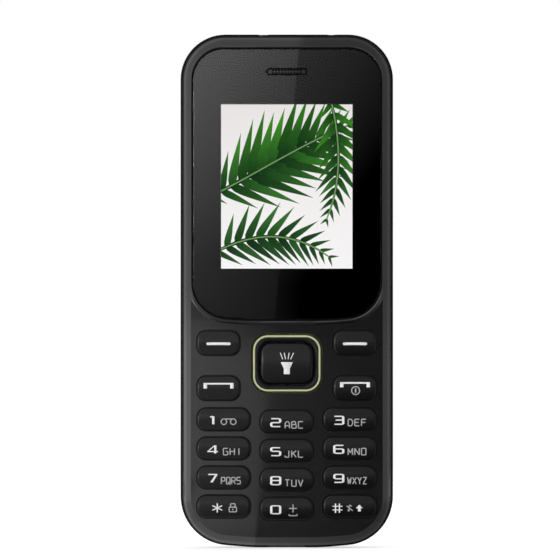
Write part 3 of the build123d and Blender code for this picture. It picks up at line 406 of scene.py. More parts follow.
print("makers of finishes:", [maker.__name__ for maker in (plastic, metal, clear)])

# %% [markdown]
# The outside of this phone is three blacks. The front shell and its keys are satin with a clear coat that
# mirrors the studio, the band round the middle is dull, and the back cover has the coarse grain that keeps
# a phone from slipping. The window is clear acrylic over a black printed film.

# %% Finishes of the outside
FINE = 0.08 * MM
KEYCAP = {"grain": FINE, "rub": 0.2}


def grey(level, blue=0.0):
    """A neutral colour, or one a little towards blue."""
    return (level, level, level + blue)


FINISHES = {
    "front_black": plastic(
        "satin_front", grey(0.0075, 0.0003), 0.42, grain=0.1 * MM, relief=0.05, shine=0.05, coat=1.0, rub=0.25
    ),
    "band_black": plastic("dull_band", grey(0.006, 0.0005), 0.55, relief=0.15, shine=0.06),
    "cover_black": plastic(
        "grained_cover", grey(0.014, 0.001), 0.45, grain=0.34 * MM, relief=0.9, shine=0.4, rub=0.8
    ),
    "key_black": plastic(
        "satin_keys", grey(0.0042, 0.0002), 0.4, relief=0.04, shine=0.04, coat=0.5, coat_rough=0.19, **KEYCAP
    ),
    "nav_black": plastic(
        "gloss_nav", grey(0.005, 0.0004), 0.3, relief=0.02, shine=0.05, coat=0.48, coat_rough=0.2, **KEYCAP
    ),
    "trim_lime": plastic("lime_paint", (0.60, 0.62, 0.37), 0.35, grain=FINE, relief=0.04, shine=0.3, rub=0.0),
    "mask_black": plastic(
        "window_print", grey(0.0008, 0.0001), 0.6, grain=0.05 * MM, relief=0.02, shine=0.0, rub=0.0
    ),
    "mesh_grey": plastic("pierced_plate", grey(0.012, 0.001), 0.45, grain=FINE, relief=0.05, shine=0.2),
    "window_clear": clear("window_acrylic", grey(1.0), 0.0, index=1.49),
    "torch_clear": clear("torch_resin", (0.97, 0.98, 1.0), 0.05, index=1.5),
    "camera_black": plastic("camera_barrel", grey(0.006), 0.4),
    "jack_black": plastic("jack_body", grey(0.012), 0.45),
    "socket_black": plastic("socket_body", grey(0.012), 0.5),
    "usb_steel": metal("usb_sleeve", (0.62, 0.62, 0.61), 0.28),
}
print("outside finishes:", len(FINISHES))

# %% [markdown]
# The front shell's coat needs a mask of its own, because a coat covers only what the spray reaches. It
# fades out over the shoulder, and the pocket behind the window is covered while the shell is sprayed: flat
# faces below the deck stay dull, so the gap round the window reads as a dark line. A painted image could
# hold the mask, but where a point is and which way it faces already say it.

# %% Where the front's coat ends
face_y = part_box("front_housing")[0].y
SHOULDER = (face_y + 1.4 * MM, face_y + 1.95 * MM)
POCKET_Y = face_y + 0.6 * MM
FLAT_FACING = -0.95
Place = namedtuple("Place", "x y z")


def split(vector):
    """The three numbers of a vector."""
    axes = add(vector.tree, "ShaderNodeSeparateXYZ", {0: vector})
    return Place(axes["X"], axes["Y"], axes["Z"])


def place_in(tree):
    """Where a point is in the phone's own frame."""
    return split(add(tree, "ShaderNodeTexCoord")["Object"])


def ramp(value, start, end, low, high):
    """A straight ramp between two values, level beyond them."""
    return add(value.tree, "ShaderNodeMapRange", {"Value": value, 1: start, 2: end, 3: low, 4: high})


def set_coat(material, weight):
    """Gives a finish a coat that changes over its surface."""
    feed(material.node_tree.nodes["Principled BSDF"], {"Coat Weight": weight})


front_tree = FINISHES["front_black"].node_tree
depth = place_in(front_tree).y
facing = split(add(front_tree, "ShaderNodeNewGeometry")["True Normal"]).y
in_pocket = (facing < FLAT_FACING) * (depth > POCKET_Y)
set_coat(FINISHES["front_black"], (ramp(depth, *SHOULDER, 1.0, 0.0) - in_pocket).at_least(0.0))
print("coat fades between depths in mm:", in_mm(y - face_y for y in SHOULDER))

# %% [markdown]
# Three finishes need a drawing of their own. The first is the board's solder mask, green lacquer that shows
# the copper tracks beneath it as paler lanes. Every track could be drawn, but little of the board is seen,
# so a brick pattern stands for them.


# %% Solder mask of the board
def solder_mask(name, colour, lane=1.1 * MM, gap_share=0.16, run=6, relief=0.03 * MM):
    """Green lacquer over copper lanes."""
    material, tree, shader = new_finish(name)
    place = add(tree, "ShaderNodeTexCoord")["Object"]
    turned = add(tree, "ShaderNodeMapping", {"Vector": place, "Rotation": (math.radians(90), 0, 0)})
    lanes = {"Vector": turned, "Scale": 1.0, "Row Height": lane}
    lanes.update({"Mortar Size": gap_share * lane, "Brick Width": run * lane})
    tracks = add(tree, "ShaderNodeTexBrick", lanes)["Fac"]
    feed(shader, {"Base Color": mixed(tracks, colour, toned(colour, share=2.0, lift=0.01))})
    feed(shader, {"Roughness": hazed(tree, rough=0.3, amount=0.1)})
    feed(shader, {"Normal": bumped(tracks, strength=0.3, distance=relief)})
    return material


FINISHES["board_green"] = solder_mask("solder_mask", (0.012, 0.085, 0.035))
print("board:", FINISHES["board_green"].name)

# %% [markdown]
# The camera looks out through a pane that is printed black round a small lens with a pale ring. The pane is
# one flat solid, so its rings are drawn by the distance from its middle.


# %% Camera pane
def away_from(tree, middle, half_run=0.0):
    """How far a point is, seen from the front, from a middle or from a level line through it."""
    place = place_in(tree)
    past = (abs(place.x - middle.x) - half_run).at_least(0.0)
    up = place.z - middle.z
    return (past * past + up * up).root()


def ringed_pane(name, node, lens=0.75 * MM, ring=1.0 * MM):
    """A camera's pane: black print, with the lens and its pale ring in the middle."""
    material, tree, shader = new_finish(name)
    low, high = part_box(node)
    away = away_from(tree, (low + high) / 2)
    rim = mixed(away < ring, grey(0.003, 0.0005), grey(0.09, 0.01))
    feed(shader, {"Base Color": mixed(away < lens, rim, (0.012, 0.010, 0.03))})
    feed(shader, {"Roughness": hazed(tree, rough=0.06, amount=0.02), "Specular IOR Level": 0.15})
    return material


FINISHES["camera_glass"] = ringed_pane("camera_pane", "camera_window")
print("pane:", FINISHES["camera_glass"].name)

# %% [markdown]
# The battery is a can in shrink wrap, grey with a dark band. The band is measured from the can's upper end,
# so it keeps its place there if the battery's size changes.


# %% Battery wrap
def banded_wrap(name, node, band=9 * MM, relief=0.1 * MM):
    """A battery's shrink wrap: grey film, with a dark band at its upper end."""
    material, tree, shader = new_finish(name)
    film = use(tree, GRAIN, Grain=0.3 * MM, Drift=7 * MM)
    wrap = mixed(film["Drift"], (0.29, 0.30, 0.32), (0.39, 0.40, 0.42))
    on_band = place_in(tree).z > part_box(node)[1].z - band
    feed(shader, {"Base Color": mixed(on_band, wrap, (0.03, 0.055, 0.10))})
    feed(shader, {"Roughness": hazed(tree, rough=0.35, amount=0.1)})
    feed(shader, {"Normal": bumped(film["Height"], strength=0.08, distance=relief)})
    return material


FINISHES["battery_can"] = banded_wrap("battery_wrap", "battery_cell")
print("finishes so far:", len(FINISHES))

# %% [markdown]
# Under the cover there is more to see than one expects: the pressed card holders, the stamped aerial,
# screws, and the board through the openings. Deeper in lie the display's tray, the key mat and its snap
# domes. They get the finishes such parts have, because the back comes off and a learner may take the rest
# apart.

# %% Finishes of the inside
RUBBERY = {"grain": 0.2 * MM, "relief": 0.1}
FINISHES |= {
    "foam_black": plastic("foam", grey(0.015), 0.9, grain=0.3 * MM, relief=0.8),
    "display_glass": plastic("display_glass", grey(0.010, 0.001), 0.12, grain=0.1 * MM, relief=0.0, rub=0.0),
    "tray_white": plastic("display_tray", (0.72, 0.72, 0.70), 0.45),
    "flex_amber": plastic("flex_film", (0.48, 0.22, 0.04), 0.3, grain=0.2 * MM, relief=0.05),
    "silicone_grey": plastic("key_mat", grey(0.045, 0.001), 0.6, **RUBBERY),
    "silicone_black": plastic("black_silicone", grey(0.010), 0.6, **RUBBERY),
    "film_clear": plastic("dome_film", (0.66, 0.68, 0.66), 0.25, grain=0.3 * MM, relief=0.05),
    "lamp_yellow": plastic("lamp_phosphor", (0.80, 0.70, 0.22), 0.3),
    "battery_black": plastic("battery_end", grey(0.016), 0.5),
    "speaker_grey": metal("speaker_can", grey(0.42, 0.01), 0.35),
    "dome_steel": metal("sprung_domes", (0.70, 0.70, 0.69), 0.2),
    "contact_gold": metal("gold_contacts", (0.83, 0.60, 0.22), 0.22),
    "holder_steel": metal("pressed_holders", (0.66, 0.66, 0.64), 0.28),
    "shield_steel": metal("tinned_lid", (0.60, 0.60, 0.58), 0.38),
    "motor_steel": metal("motor_can", (0.58, 0.58, 0.57), 0.25),
    "weight_grey": metal("heavy_metal", grey(0.30), 0.55, streak=0.2 * MM),
    "microphone_steel": metal("microphone_can", grey(0.66, 0.01), 0.3),
    "antenna_copper": metal("aerial_copper", (0.75, 0.42, 0.24), 0.3),
    "screw_steel": metal("screw_steel", (0.56, 0.56, 0.55), 0.3),
}
print("finishes:", len(FINISHES))

# %% [markdown]
# A few pieces differ from the others of their material. The middle key is as glossy as the key round it,
# and the soft pad under that key is tinted dark olive: a darkened copy of its ring's lime, painted shade that
# stands for the ring's lower edge seen in the groove. The pierced plate of the earpiece is glossy inside a
# dull rim, with dark dust cloth behind its holes. Then every packed piece gets its finish.

# %% Special finishes, and every piece dressed
PLATE_RIM = 0.28 * MM
PLATE_COAT = 0.75
SPECIAL = {
    "select_key": FINISHES["nav_black"],
    # The pad's dark olive is painted shade: a darkened lime for the ring's skirt in the shaded groove.
    "nav_pad": plastic("lime_in_painted_shade_silicone", (0.16, 0.17, 0.04), 0.6, **RUBBERY),
    "earpiece_receiver": plastic(
        "dust_cloth", grey(0.05), 0.9, grain=0.1 * MM, relief=0.3, shine=0.05, rub=0.0
    ),
    "earpiece_mesh": plastic(
        "earpiece_plate", grey(0.004), 0.45, grain=FINE, relief=0.02, shine=0.03, rub=0.0
    ),
}
plate_low, plate_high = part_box("earpiece_mesh")
plate_radius = (plate_high.z - plate_low.z) / 2
plate_middle = (plate_low + plate_high) / 2
from_axis = away_from(SPECIAL["earpiece_mesh"].node_tree, plate_middle, plate_high.x - plate_radius)
set_coat(SPECIAL["earpiece_mesh"], (from_axis < plate_radius - PLATE_RIM) * PLATE_COAT)
for part in frame["record"]["subparts"]:
    piece = nodes[part["node"]]
    piece.data.materials.clear()
    piece.data.materials.append(SPECIAL.get(part["node"], FINISHES[part["material_slot"]]))
print("finished pieces:", len(frame["record"]["subparts"]), "of which special:", len(SPECIAL))

# %% [markdown]
# Printed marks are flat strips along a line, and so are the leaves and stems of the picture on the display.
# Geometry Nodes make both. Two steps are shared by their trees: the sweep itself, and the end of a tree,
# which turns instances into real mesh, as the export needs it, and gives it its finish.


# %% Strips along a line
def strip_along(curve, width, thick, scale=1.0):
    """A flat strip swept along a curve, closed at its ends."""
    level = add(curve.tree, "GeometryNodeSetCurveNormal", {"Curve": curve}, mode="Z_UP")
    section = add(curve.tree, "GeometryNodeCurvePrimitiveQuadrilateral", {"Width": width, "Height": thick})
    swept = {"Curve": level, "Profile Curve": section, "Scale": scale, "Fill Caps": True}
    return add(curve.tree, "GeometryNodeCurveToMesh", swept)


def finished(geometry, finish):
    """The end of a tree: real mesh instead of instances, in its finish."""
    whole = add(geometry.tree, "GeometryNodeRealizeInstances", {0: geometry})
    return add(geometry.tree, "GeometryNodeSetMaterial", {"Geometry": whole, "Material": finish})


print("shared steps:", strip_along.__name__, finished.__name__)

# %% [markdown]
# The marks on the keys are printed film, a few hundredths of a millimetre thick, that follows the crown of
# the key. They could be text, but the wide squared figures of such a keypad are easier to draw as strokes:
# a few points each, turned into ribbons by Geometry Nodes. The tree rounds the corners, sweeps a flat strip
# along the line, stretches it sideways so that uprights come out heavier than bars, and lays it on the
# crown.

# %% The tree that prints a mark
GEOMETRY_TREE = "GeometryNodeTree"
GEOMETRY = "NodeSocketGeometry"
MATERIAL = "NodeSocketMaterial"
CORNER_POINTS = 4
CUTS_BETWEEN = 3


def printed_mark_tree():
    """Strokes drawn flat on XY become ribbons on a key's crown."""
    inputs = {
        "Strokes": GEOMETRY,
        "Stroke width": 0.3 * MM,
        "Film": 0.03 * MM,
        "Corner": 0.2 * MM,
        "Stretch": 1.0,
        "Crown": 11 * MM,
        "Place": (0.0, 0.0, 0.0),
        "Finish": MATERIAL,
    }
    tree, given, end = new_group("printed_mark", GEOMETRY_TREE, inputs, {"Mark": GEOMETRY})
    line = add(tree, "GeometryNodeMeshToCurve", {"Mesh": given["Strokes"]})
    soft = {"Curve": line, "Radius": given["Corner"], "Count": CORNER_POINTS, "Limit Radius": True}
    rounded = add(tree, "GeometryNodeFilletCurve", soft, mode="POLY")
    fine = add(tree, "GeometryNodeSubdivideCurve", {"Curve": rounded, "Cuts": CUTS_BETWEEN})
    weight = add(tree, "GeometryNodeInputNamedAttribute", {"Name": "weight"}, data_type="FLOAT")
    ribbon = strip_along(fine, given["Stroke width"], given["Film"], weight)
    flat = split(add(tree, "GeometryNodeInputPosition"))
    key = split(given["Place"])
    fall = given["Crown"] - (given["Crown"] ** 2.0 - flat.y ** 2.0).root()
    half = given["Film"] * 0.5
    level = flat.z.at_most(half).at_least(half * -1.0)
    spot = {"X": flat.x * given["Stretch"] + key.x, "Y": key.y + fall - level, "Z": flat.y + key.z}
    laid = {"Geometry": ribbon, "Position": add(tree, "ShaderNodeCombineXYZ", spot)}
    feed(end, {"Mark": finished(add(tree, "GeometryNodeSetPosition", laid), given["Finish"])})
    return tree


PRINTED_MARK = printed_mark_tree()
tell(PRINTED_MARK)

# %% [markdown]
# A Geometry Nodes tree works as a modifier on a carrier, here a bare mesh of points and edges. Its inputs
# are set, the result is read back once as a plain mesh, and the carrier goes. What stays is an ordinary
# piece, which the export can take as it is.


# %% From a tree to a plain piece
def grown(name, points, edges, tree, values, weights=None):
    """A plain mesh piece from lines and a Geometry Nodes tree with its inputs set."""
    carrier = bpy.data.meshes.new(name + "_lines")
    carrier.from_pydata(points, edges, [])
    if weights:
        carrier.attributes.new("weight", "FLOAT", "POINT").data.foreach_set("value", weights)
    source = in_scene(name + "_carrier", carrier)
    modifier = source.modifiers.new("nodes", "NODES")
    modifier.node_group = tree
    for item in inputs_of(tree):
        if item.name in values:
            modifier[item.identifier] = values[item.name]
    graph = bpy.context.evaluated_depsgraph_get()
    mesh = bpy.data.meshes.new_from_object(source.evaluated_get(graph), depsgraph=graph)
    mesh.name = name
    source.modifiers.remove(modifier)
    bpy.data.objects.remove(source)
    return in_scene(name, mesh)


print("trees ready:", [group.name for group in bpy.data.node_groups if group.type == "GEOMETRY"])

# %% [markdown]
# Figures and letters share one drawing grid, four units wide and four high, on the middle of each stroke.
# Only the points a shape needs are written down: the tree rounds their corners. Where two strokes meet at a
# sharp point they are drawn apart, because rounding would eat the point. A third number is the weight of
# the line there.

# %% Strokes of the figures
BOX = [(0, 0), (4, 0), (4, 4), (0, 4), (0, 0)]
GLYPHS = {
    "0": [BOX],
    "1": [[(0.9, 3.6), (2.3, 4)], [(2.3, 4), (2.3, 0)]],
    "2": [[(0, 4), (4, 4), (4, 2), (0, 2), (0, 0), (4, 0)]],
    "3": [[(0, 4), (4, 4), (4, 0), (0, 0)], [(0.6, 2.1), (4, 2.1)]],
    "4": [[(3.2, 0), (3.2, 4)], [(3.0, 4, 0.55), (-0.2, 0.9, 0.55)], [(-0.4, 0.9), (4.4, 0.9)]],
    "5": [[(4, 4), (0, 4), (0, 2.2), (4, 2.2), (4, 0), (0, 0)]],
    "6": [[(4, 4), (0, 4), (0, 0), (4, 0), (4, 2.2), (0, 2.2)]],
    "7": [[(0, 4), (4, 4)], [(3.8, 4), (1.5, 0)]],
    "8": [BOX, [(0, 2.1), (4, 2.1)]],
    "9": [[(4, 1.8), (0, 1.8), (0, 4), (4, 4), (4, 0), (0, 0)]],
    "*": [[(2, 0), (2, 4)], [(0, 1), (4, 3)], [(0, 3), (4, 1)]],
    "#": [[(1.2, 0), (1.2, 4)], [(2.8, 0), (2.8, 4)], [(0, 1.2), (4, 1.2)], [(0, 2.8), (4, 2.8)]],
}
print("drawn figures:", len(GLYPHS))

# %% [markdown]
# The letters are drawn on the same grid. A word is then spelled by setting them side by side, each brought
# to the size that the key has room for.

# %% Strokes of the letters
GRID = 4.0
GLYPHS |= {
    "A": [[(0, 0), (0, 2.8), (1.2, 4), (2.8, 4), (4, 2.8), (4, 0)], [(0, 1.5), (4, 1.5)]],
    "B": [[(0, 0), (0, 4), (3.4, 4), (3.4, 2.2), (0, 2.2)], [(3.4, 2.2), (4, 2.2), (4, 0), (0, 0)]],
    "C": [[(4, 4), (0, 4), (0, 0), (4, 0)]],
    "D": [[(0, 0), (0, 4), (2.8, 4), (4, 2.8), (4, 1.2), (2.8, 0), (0, 0)]],
    "E": [[(4, 4), (0, 4), (0, 0), (4, 0)], [(0, 2.1), (3.4, 2.1)]],
    "F": [[(4, 4), (0, 4), (0, 0)], [(0, 2.1), (3.4, 2.1)]],
    "G": [[(4, 4), (0, 4), (0, 0), (4, 0), (4, 2.1), (2.2, 2.1)]],
    "H": [[(0, 0), (0, 4)], [(4, 0), (4, 4)], [(0, 2.1), (4, 2.1)]],
    "I": [[(2, 0), (2, 4)]],
    "J": [[(3.4, 4), (3.4, 0), (0, 0), (0, 1)]],
    "K": [[(0, 0), (0, 4)], [(4, 4), (0.3, 1.9)], [(1.2, 2.4), (4, 0)]],
    "L": [[(0, 4), (0, 0), (4, 0)]],
    "M": [[(0, 0), (0, 4)], [(0, 4), (2, 1.2)], [(2, 1.2), (4, 4)], [(4, 4), (4, 0)]],
    "N": [[(0, 0), (0, 4)], [(0, 4), (4, 0)], [(4, 0), (4, 4)]],
    "O": [BOX],
    "P": [[(0, 0), (0, 4), (4, 4), (4, 1.8), (0, 1.8)]],
    "Q": [BOX, [(2.4, 1.3), (4.3, -0.5)]],
    "R": [[(0, 0), (0, 4), (4, 4), (4, 1.8), (0, 1.8)], [(1.8, 1.8), (4, 0)]],
    "S": [[(4, 4), (0, 4), (0, 2.1), (4, 2.1), (4, 0), (0, 0)]],
    "T": [[(0, 4), (4, 4)], [(2, 4), (2, 0)]],
    "U": [[(0, 4), (0, 0), (4, 0), (4, 4)]],
    "V": [[(0, 4), (2, 0)], [(2, 0), (4, 4)]],
    "W": [[(0, 4), (1, 0)], [(1, 0), (2, 3)], [(2, 3), (3, 0)], [(3, 0), (4, 4)]],
    "X": [[(0, 0), (4, 4)], [(0, 4), (4, 0)]],
    "Y": [[(0, 4), (2, 1.9)], [(2, 1.9), (4, 4)], [(2, 2.1), (2, 0)]],
    "Z": [[(0, 4), (4, 4)], [(4, 4), (0, 0)], [(0, 0), (4, 0)]],
}


def moved(strokes, x, z, wide=1.0, high=1.0):
    """Strokes brought to their size and place on a key."""
    placed = []
    for stroke in strokes:
        placed.append([(x + across * wide, z + up * high, *heavy) for across, up, *heavy in stroke])
    return placed


def spelled(text, middle, width, height, pitch):
    """The strokes of a word in millimetres, centred on a point of the key."""
    strokes = []
    for index, letter in enumerate(text):
        left = middle[0] + (index - (len(text) - 1) / 2) * pitch - width / 2
        strokes += moved(GLYPHS[letter], left, middle[1] - height / 2, width / GRID, height / GRID)
    return strokes


print("drawn figures and letters:", len(GLYPHS))

# %% [markdown]
# Beside the figures stand small signs that every such keypad has: two loops for recorded messages, a
# padlock, a plus over a space bar, a crossed note for silence and an arrow for capitals. They are drawn in
# millimetres about their own middle. The handsets and the torch have heavy parts, so their points carry
# weights too.


# %% Strokes of the signs
def ring(x, z, radius, sides=14):
    """A closed round stroke."""
    turns = [2 * math.pi * index / sides for index in range(sides)]
    points = [(x + radius * math.cos(turn), z + radius * math.sin(turn)) for turn in turns]
    return points + points[:1]


def handset(top, foot, half=3.2, leg=0.73, bar=0.36):
    """A receiver lying down: a thin bar with heavy ends that droop."""
    out = half - leg / 2
    ends = [[(side * out, top, leg / bar), (side * out, foot, leg / bar)] for side in (-1, 1)]
    return [[(-half, top - bar / 2), (half, top - bar / 2)], *ends]


LOOPS = [ring(-1, 0, 0.6), ring(1, 0, 0.6), [(-1, 0.6), (1, 0.6)]]
PADLOCK = [
    [(-0.78, -0.86), (0.78, -0.86), (0.78, 0.14), (-0.78, 0.14), (-0.78, -0.86)],
    [(-0.48, 0.14), (-0.48, 0.88), (0.48, 0.88), (0.48, 0.14)],
    [(0, -0.55), (0, -0.2)],
]
PLUS_OVER_SPACE = [
    [(-0.85, 0), (0.85, 0)],
    [(0, -0.85), (0, 0.85)],
    [(-0.85, -1.21), (-0.85, -1.55), (0.85, -1.55), (0.85, -1.21)],
]
CROSSED_NOTE = [
    [(-0.1, -0.55), (-0.1, 0.7), (0.45, 0.35)],
    [(-0.4, -0.5, 2.0), (-0.05, -0.5, 2.0)],
    [(-0.65, 0.45), (0.65, -0.6)],
]
UP_ARROW = [[(0, -0.05, 5.4), (0, 0.72, 0.3)], [(0, -0.72, 2.2), (0, 0.1, 2.2)]]
POWER = [ring(0, 0, 0.86), [(0, -0.45, 1.4), (0, 0.45, 1.4)]]
RAYS = {-0.85: -1.4, -0.25: -0.55, 0.28: 0.5, 0.82: 1.45}
TORCH = [[(foot, 0.88, 0.6), (tip, 2.25, 0.6)] for foot, tip in RAYS.items()]
TORCH += [[(0, 0.26, 9.0), (0, 0.05, 8.6), (0, -1.1, 4.6)], [(0, -1.0, 4.6), (0, -2.3, 4.6)]]
print("strokes of the torch:", len(TORCH))

# %% [markdown]
# Each key gets its figure in white ink and its letters in grey, printed on its own body so that they go
# down with the key. Places are measured in millimetres from the middle of the key, which comes from the
# packed solid.

# %% Ink and printing
KEY_CROWN = 11 * MM
INK_FILM = 0.03 * MM
INK_PATCHES = 0.86
INK_RELIEF = 0.02 * MM


def ink(name, colour):
    """Screen-printed ink: matt, a little uneven."""
    material, tree, shader = new_finish(name)
    surface = use(tree, GRAIN, Grain=0.06 * MM, Drift=1.2 * MM)
    feed(shader, {"Base Color": mixed(surface["Drift"], toned(colour, INK_PATCHES), colour)})
    feed(shader, {"Roughness": 0.5, "Normal": bumped(surface["Height"], strength=0.1, distance=INK_RELIEF)})
    return material


def print_mark(name, key, strokes, width, finish, stretch=1.0, corner=0.22, crown=KEY_CROWN):
    """A mark on a key, from strokes in millimetres about the key's middle."""
    points, edges, weights = [], [], []
    for stroke in strokes:
        closed = stroke[0] == stroke[-1]
        kept = stroke[:-1] if closed else stroke
        first, last = len(points), len(points) + len(kept) - 1
        points += [(x / stretch * MM, z * MM, 0) for x, z, *heavy in kept]
        weights += [heavy[0] if heavy else 1.0 for x, z, *heavy in kept]
        edges += [(index, index + 1) for index in range(first, last)]
        edges += [(last, first)] if closed else []
    low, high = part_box(key)
    place = ((low.x + high.x) / 2, low.y, (low.z + high.z) / 2)
    values = {"Stroke width": width * MM, "Film": INK_FILM, "Corner": corner * MM, "Stretch": stretch}
    values.update({"Crown": crown, "Place": place, "Finish": finish})
    piece = grown(name, points, edges, PRINTED_MARK, values, weights)
    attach(piece, key)
    return piece


WHITE_INK = ink("white_ink", (0.93, 0.93, 0.92))
GREY_INK = ink("grey_ink", grey(0.46))
print("inks:", WHITE_INK.name, GREY_INK.name)

# %% [markdown]
# Figures are wide and heavy, letters narrow and fine, and a word of four letters is set closer than one of
# three. A thin letter at the end of a word would leave the word looking off centre, so such a word moves a
# little.

# %% Figures and letters
FIGURE = {"width": 1.9, "height": 1.69, "pitch": 0.0}
LETTERS = {"width": 0.94, "height": 1.4, "pitch": 1.42}
NARROW = {"width": 0.76, "height": 1.4, "pitch": 1.1}
FIGURE_MIDDLE = (-2.36, -0.2)
LETTERS_X, LETTERS_Z = 1.53, -0.68
USUAL_LETTERS = 3
THIN_LETTER, THIN_LETTER_SHIFT = "I", 0.3
FIGURE_LOOKS = {"width": 0.26, "finish": WHITE_INK, "stretch": 1.9}
LETTER_LOOKS = {"width": 0.22, "finish": GREY_INK, "corner": 0.16}
WORDS = {"2": "ABC", "3": "DEF", "4": "GHI", "5": "JKL", "6": "MNO", "7": "PQRS", "8": "TUV", "9": "WXYZ"}

marks = []
for figure in [*WORDS, "1", "0"]:
    key = "key_" + figure
    strokes = spelled(figure, FIGURE_MIDDLE, **FIGURE)
    marks.append(print_mark("figure_" + figure, key, strokes, **FIGURE_LOOKS))
    if figure in WORDS:
        word = WORDS[figure]
        size = NARROW if len(word) > USUAL_LETTERS else LETTERS
        shift = THIN_LETTER_SHIFT if THIN_LETTER in word else 0.0
        strokes = spelled(word, (LETTERS_X + shift, LETTERS_Z), **size)
        marks.append(print_mark("letters_" + figure, key, strokes, **LETTER_LOOKS))
print("figures and words:", len(marks))

# %% [markdown]
# The four keys without letters carry signs, and so do the keys beside the four-way pad. The torch sits on
# the middle key, whose crown is flatter.

# %% Signs on the other keys
SELECT_CROWN = 22 * MM
SYMBOL = {"width": 2.1, "height": 1.95, "pitch": 0.0}
SYMBOL_LOOKS = {"width": 0.22, "finish": WHITE_INK, "stretch": 1.25}
HANDSET_LOOKS = {"width": 0.36, "finish": WHITE_INK, "corner": 0.05}
TORCH_LOOKS = {"width": 0.28, "finish": WHITE_INK, "corner": 0.02, "crown": SELECT_CROWN}
DASH_LOOKS = {"width": 0.58, "finish": WHITE_INK}
DASH = [(-2.57, -0.16, 0.5), (-2.4, -0.16), (2.4, -0.16), (2.57, -0.16, 0.5)]
SIGNS = [
    ("figure_star", "key_star", spelled("*", (-1.37, -0.3), **SYMBOL), SYMBOL_LOOKS),
    ("figure_hash", "key_hash", spelled("#", (-2.65, -0.34), **SYMBOL), SYMBOL_LOOKS),
    ("arrow_hash", "key_hash", moved(UP_ARROW, 2.03, -0.33), SYMBOL_LOOKS),
    ("sign_key_1", "key_1", moved(LOOPS, 1.04, -0.51), LETTER_LOOKS),
    ("sign_key_star", "key_star", moved(PADLOCK, 1.95, -0.28), LETTER_LOOKS),
    ("sign_key_0", "key_0", moved(PLUS_OVER_SPACE, 1.34, 0.09), LETTER_LOOKS),
    ("sign_key_hash", "key_hash", moved(CROSSED_NOTE, -0.04, -0.31), LETTER_LOOKS),
    ("sign_end_key", "end_key", moved(POWER, 0.13, -0.51), LETTER_LOOKS),
    ("dash_left_soft_key", "left_soft_key", [DASH], DASH_LOOKS),
    ("dash_right_soft_key", "right_soft_key", [DASH], DASH_LOOKS),
    ("handset_call", "call_key", handset(top=1.13, foot=-0.07), HANDSET_LOOKS),
    ("handset_end", "end_key", handset(top=1.3, foot=0.2), HANDSET_LOOKS),
    ("torch_mark", "select_key", TORCH, TORCH_LOOKS),
]
for name, key, strokes, looks in SIGNS:
    marks.append(print_mark(name, key, strokes, **looks))
print("printed marks:", len(marks))

# %% [markdown]
# The display is lit from behind, so its picture shines by itself: a pale ground with palm fronds across it.
# The fronds follow a rule, so Geometry Nodes grow them, from one leaflet. It is a thin blade that swells
# early and ends in a point, and it knows how far along it a point is, for its colour.

# %% One leaflet
BLADE_POINTS = 12
BLADE_THICK = 0.002
BLADE_FOOT, BLADE_TIP = 0.16, 0.02
BLADE_BIAS = 0.55


def marked(geometry, name, value, domain="POINT"):
    """Geometry that carries a number by name."""
    kept = {"Geometry": geometry, "Name": name, "Value": value}
    return add(geometry.tree, "GeometryNodeStoreNamedAttribute", kept, data_type="FLOAT", domain=domain)


def along_in(tree):
    """How far along its curve a point is, from nought to one."""
    return add(tree, "GeometryNodeSplineParameter")["Factor"]


def leaf_blade(tree, width):
    """A leaflet one unit long, pointed at its tip."""
    line = add(tree, "GeometryNodeCurvePrimitiveLine", {"Start": (0, 0, 0), "End": (1, 0, 0)})
    fine = add(tree, "GeometryNodeResampleCurve", {"Curve": line, "Count": BLADE_POINTS})
    along = along_in(tree)
    belly = ((along ** BLADE_BIAS * (1.0 - BLADE_FOOT) + BLADE_FOOT) * math.pi).sine()
    return strip_along(marked(fine, "along", along), 1.0, BLADE_THICK, belly.at_least(BLADE_TIP) * width)


print("points along a leaflet:", BLADE_POINTS)

# %% [markdown]
# Leaflets stand in pairs along a bent stem, longest below the middle and leaning forwards more towards the
# tip. Each differs a little in length and shade from its neighbours, as leaves do, and a fixed seed keeps
# those differences the same every time.

# %% A row of leaflets
SWELL_BIAS = 0.7
LEAST_LENGTH, LENGTH_SWELL = 0.28, 0.8
LEAST_BREADTH, BREADTH_SWELL = 0.35, 0.65
UNEVEN = (0.88, 1.12)
LEAN_LOSS = 0.35
SHADE_SEED = 7


def vector_of(tree, **axes):
    """A vector from numbers for some of its axes."""
    return add(tree, "ShaderNodeCombineXYZ", axes)


def chance(tree, low, high, seed):
    """A random number for each point."""
    inputs = {2: low, 3: high, "ID": add(tree, "GeometryNodeInputIndex"), "Seed": seed}
    return add(tree, "FunctionNodeRandomValue", inputs, data_type="FLOAT")[1]


def swell_of(tree):
    """How full the frond is along its stem: most below the middle, nought at both ends."""
    return (along_in(tree) ** SWELL_BIAS * math.pi).sine()


def breadth_of(tree):
    """The breadth of a leaflet, or of the band under it, along the stem."""
    return swell_of(tree) * BREADTH_SWELL + LEAST_BREADTH


def leaflet_row(given, points, blade, side):
    """The leaflets on one side of the stems, each with a shade of its own."""
    tree = points.tree
    even_length = (swell_of(tree) * LENGTH_SWELL + LEAST_LENGTH) * given["Leaflet"]
    length = even_length * chance(tree, *UNEVEN, given["Seed"])
    opening = (given["Lean"] - along_in(tree) * LEAN_LOSS) * side
    tangent = add(tree, "GeometryNodeInputTangent")
    ahead = add(tree, "FunctionNodeAlignRotationToVector", {"Vector": tangent}, axis="X")
    leaned = {"Rotation": ahead, "Rotate By": vector_of(tree, Z=opening)}
    angle = add(tree, "FunctionNodeRotateRotation", leaned, rotation_space="LOCAL")
    size = vector_of(tree, X=length, Y=breadth_of(tree), Z=1.0)
    placed = {"Points": points, "Instance": blade, "Rotation": angle, "Scale": size}
    row = add(tree, "GeometryNodeInstanceOnPoints", placed)
    return marked(row, "shade", chance(tree, 0.0, 1.0, SHADE_SEED + side), domain="INSTANCE")


print("lengths vary between shares:", UNEVEN)

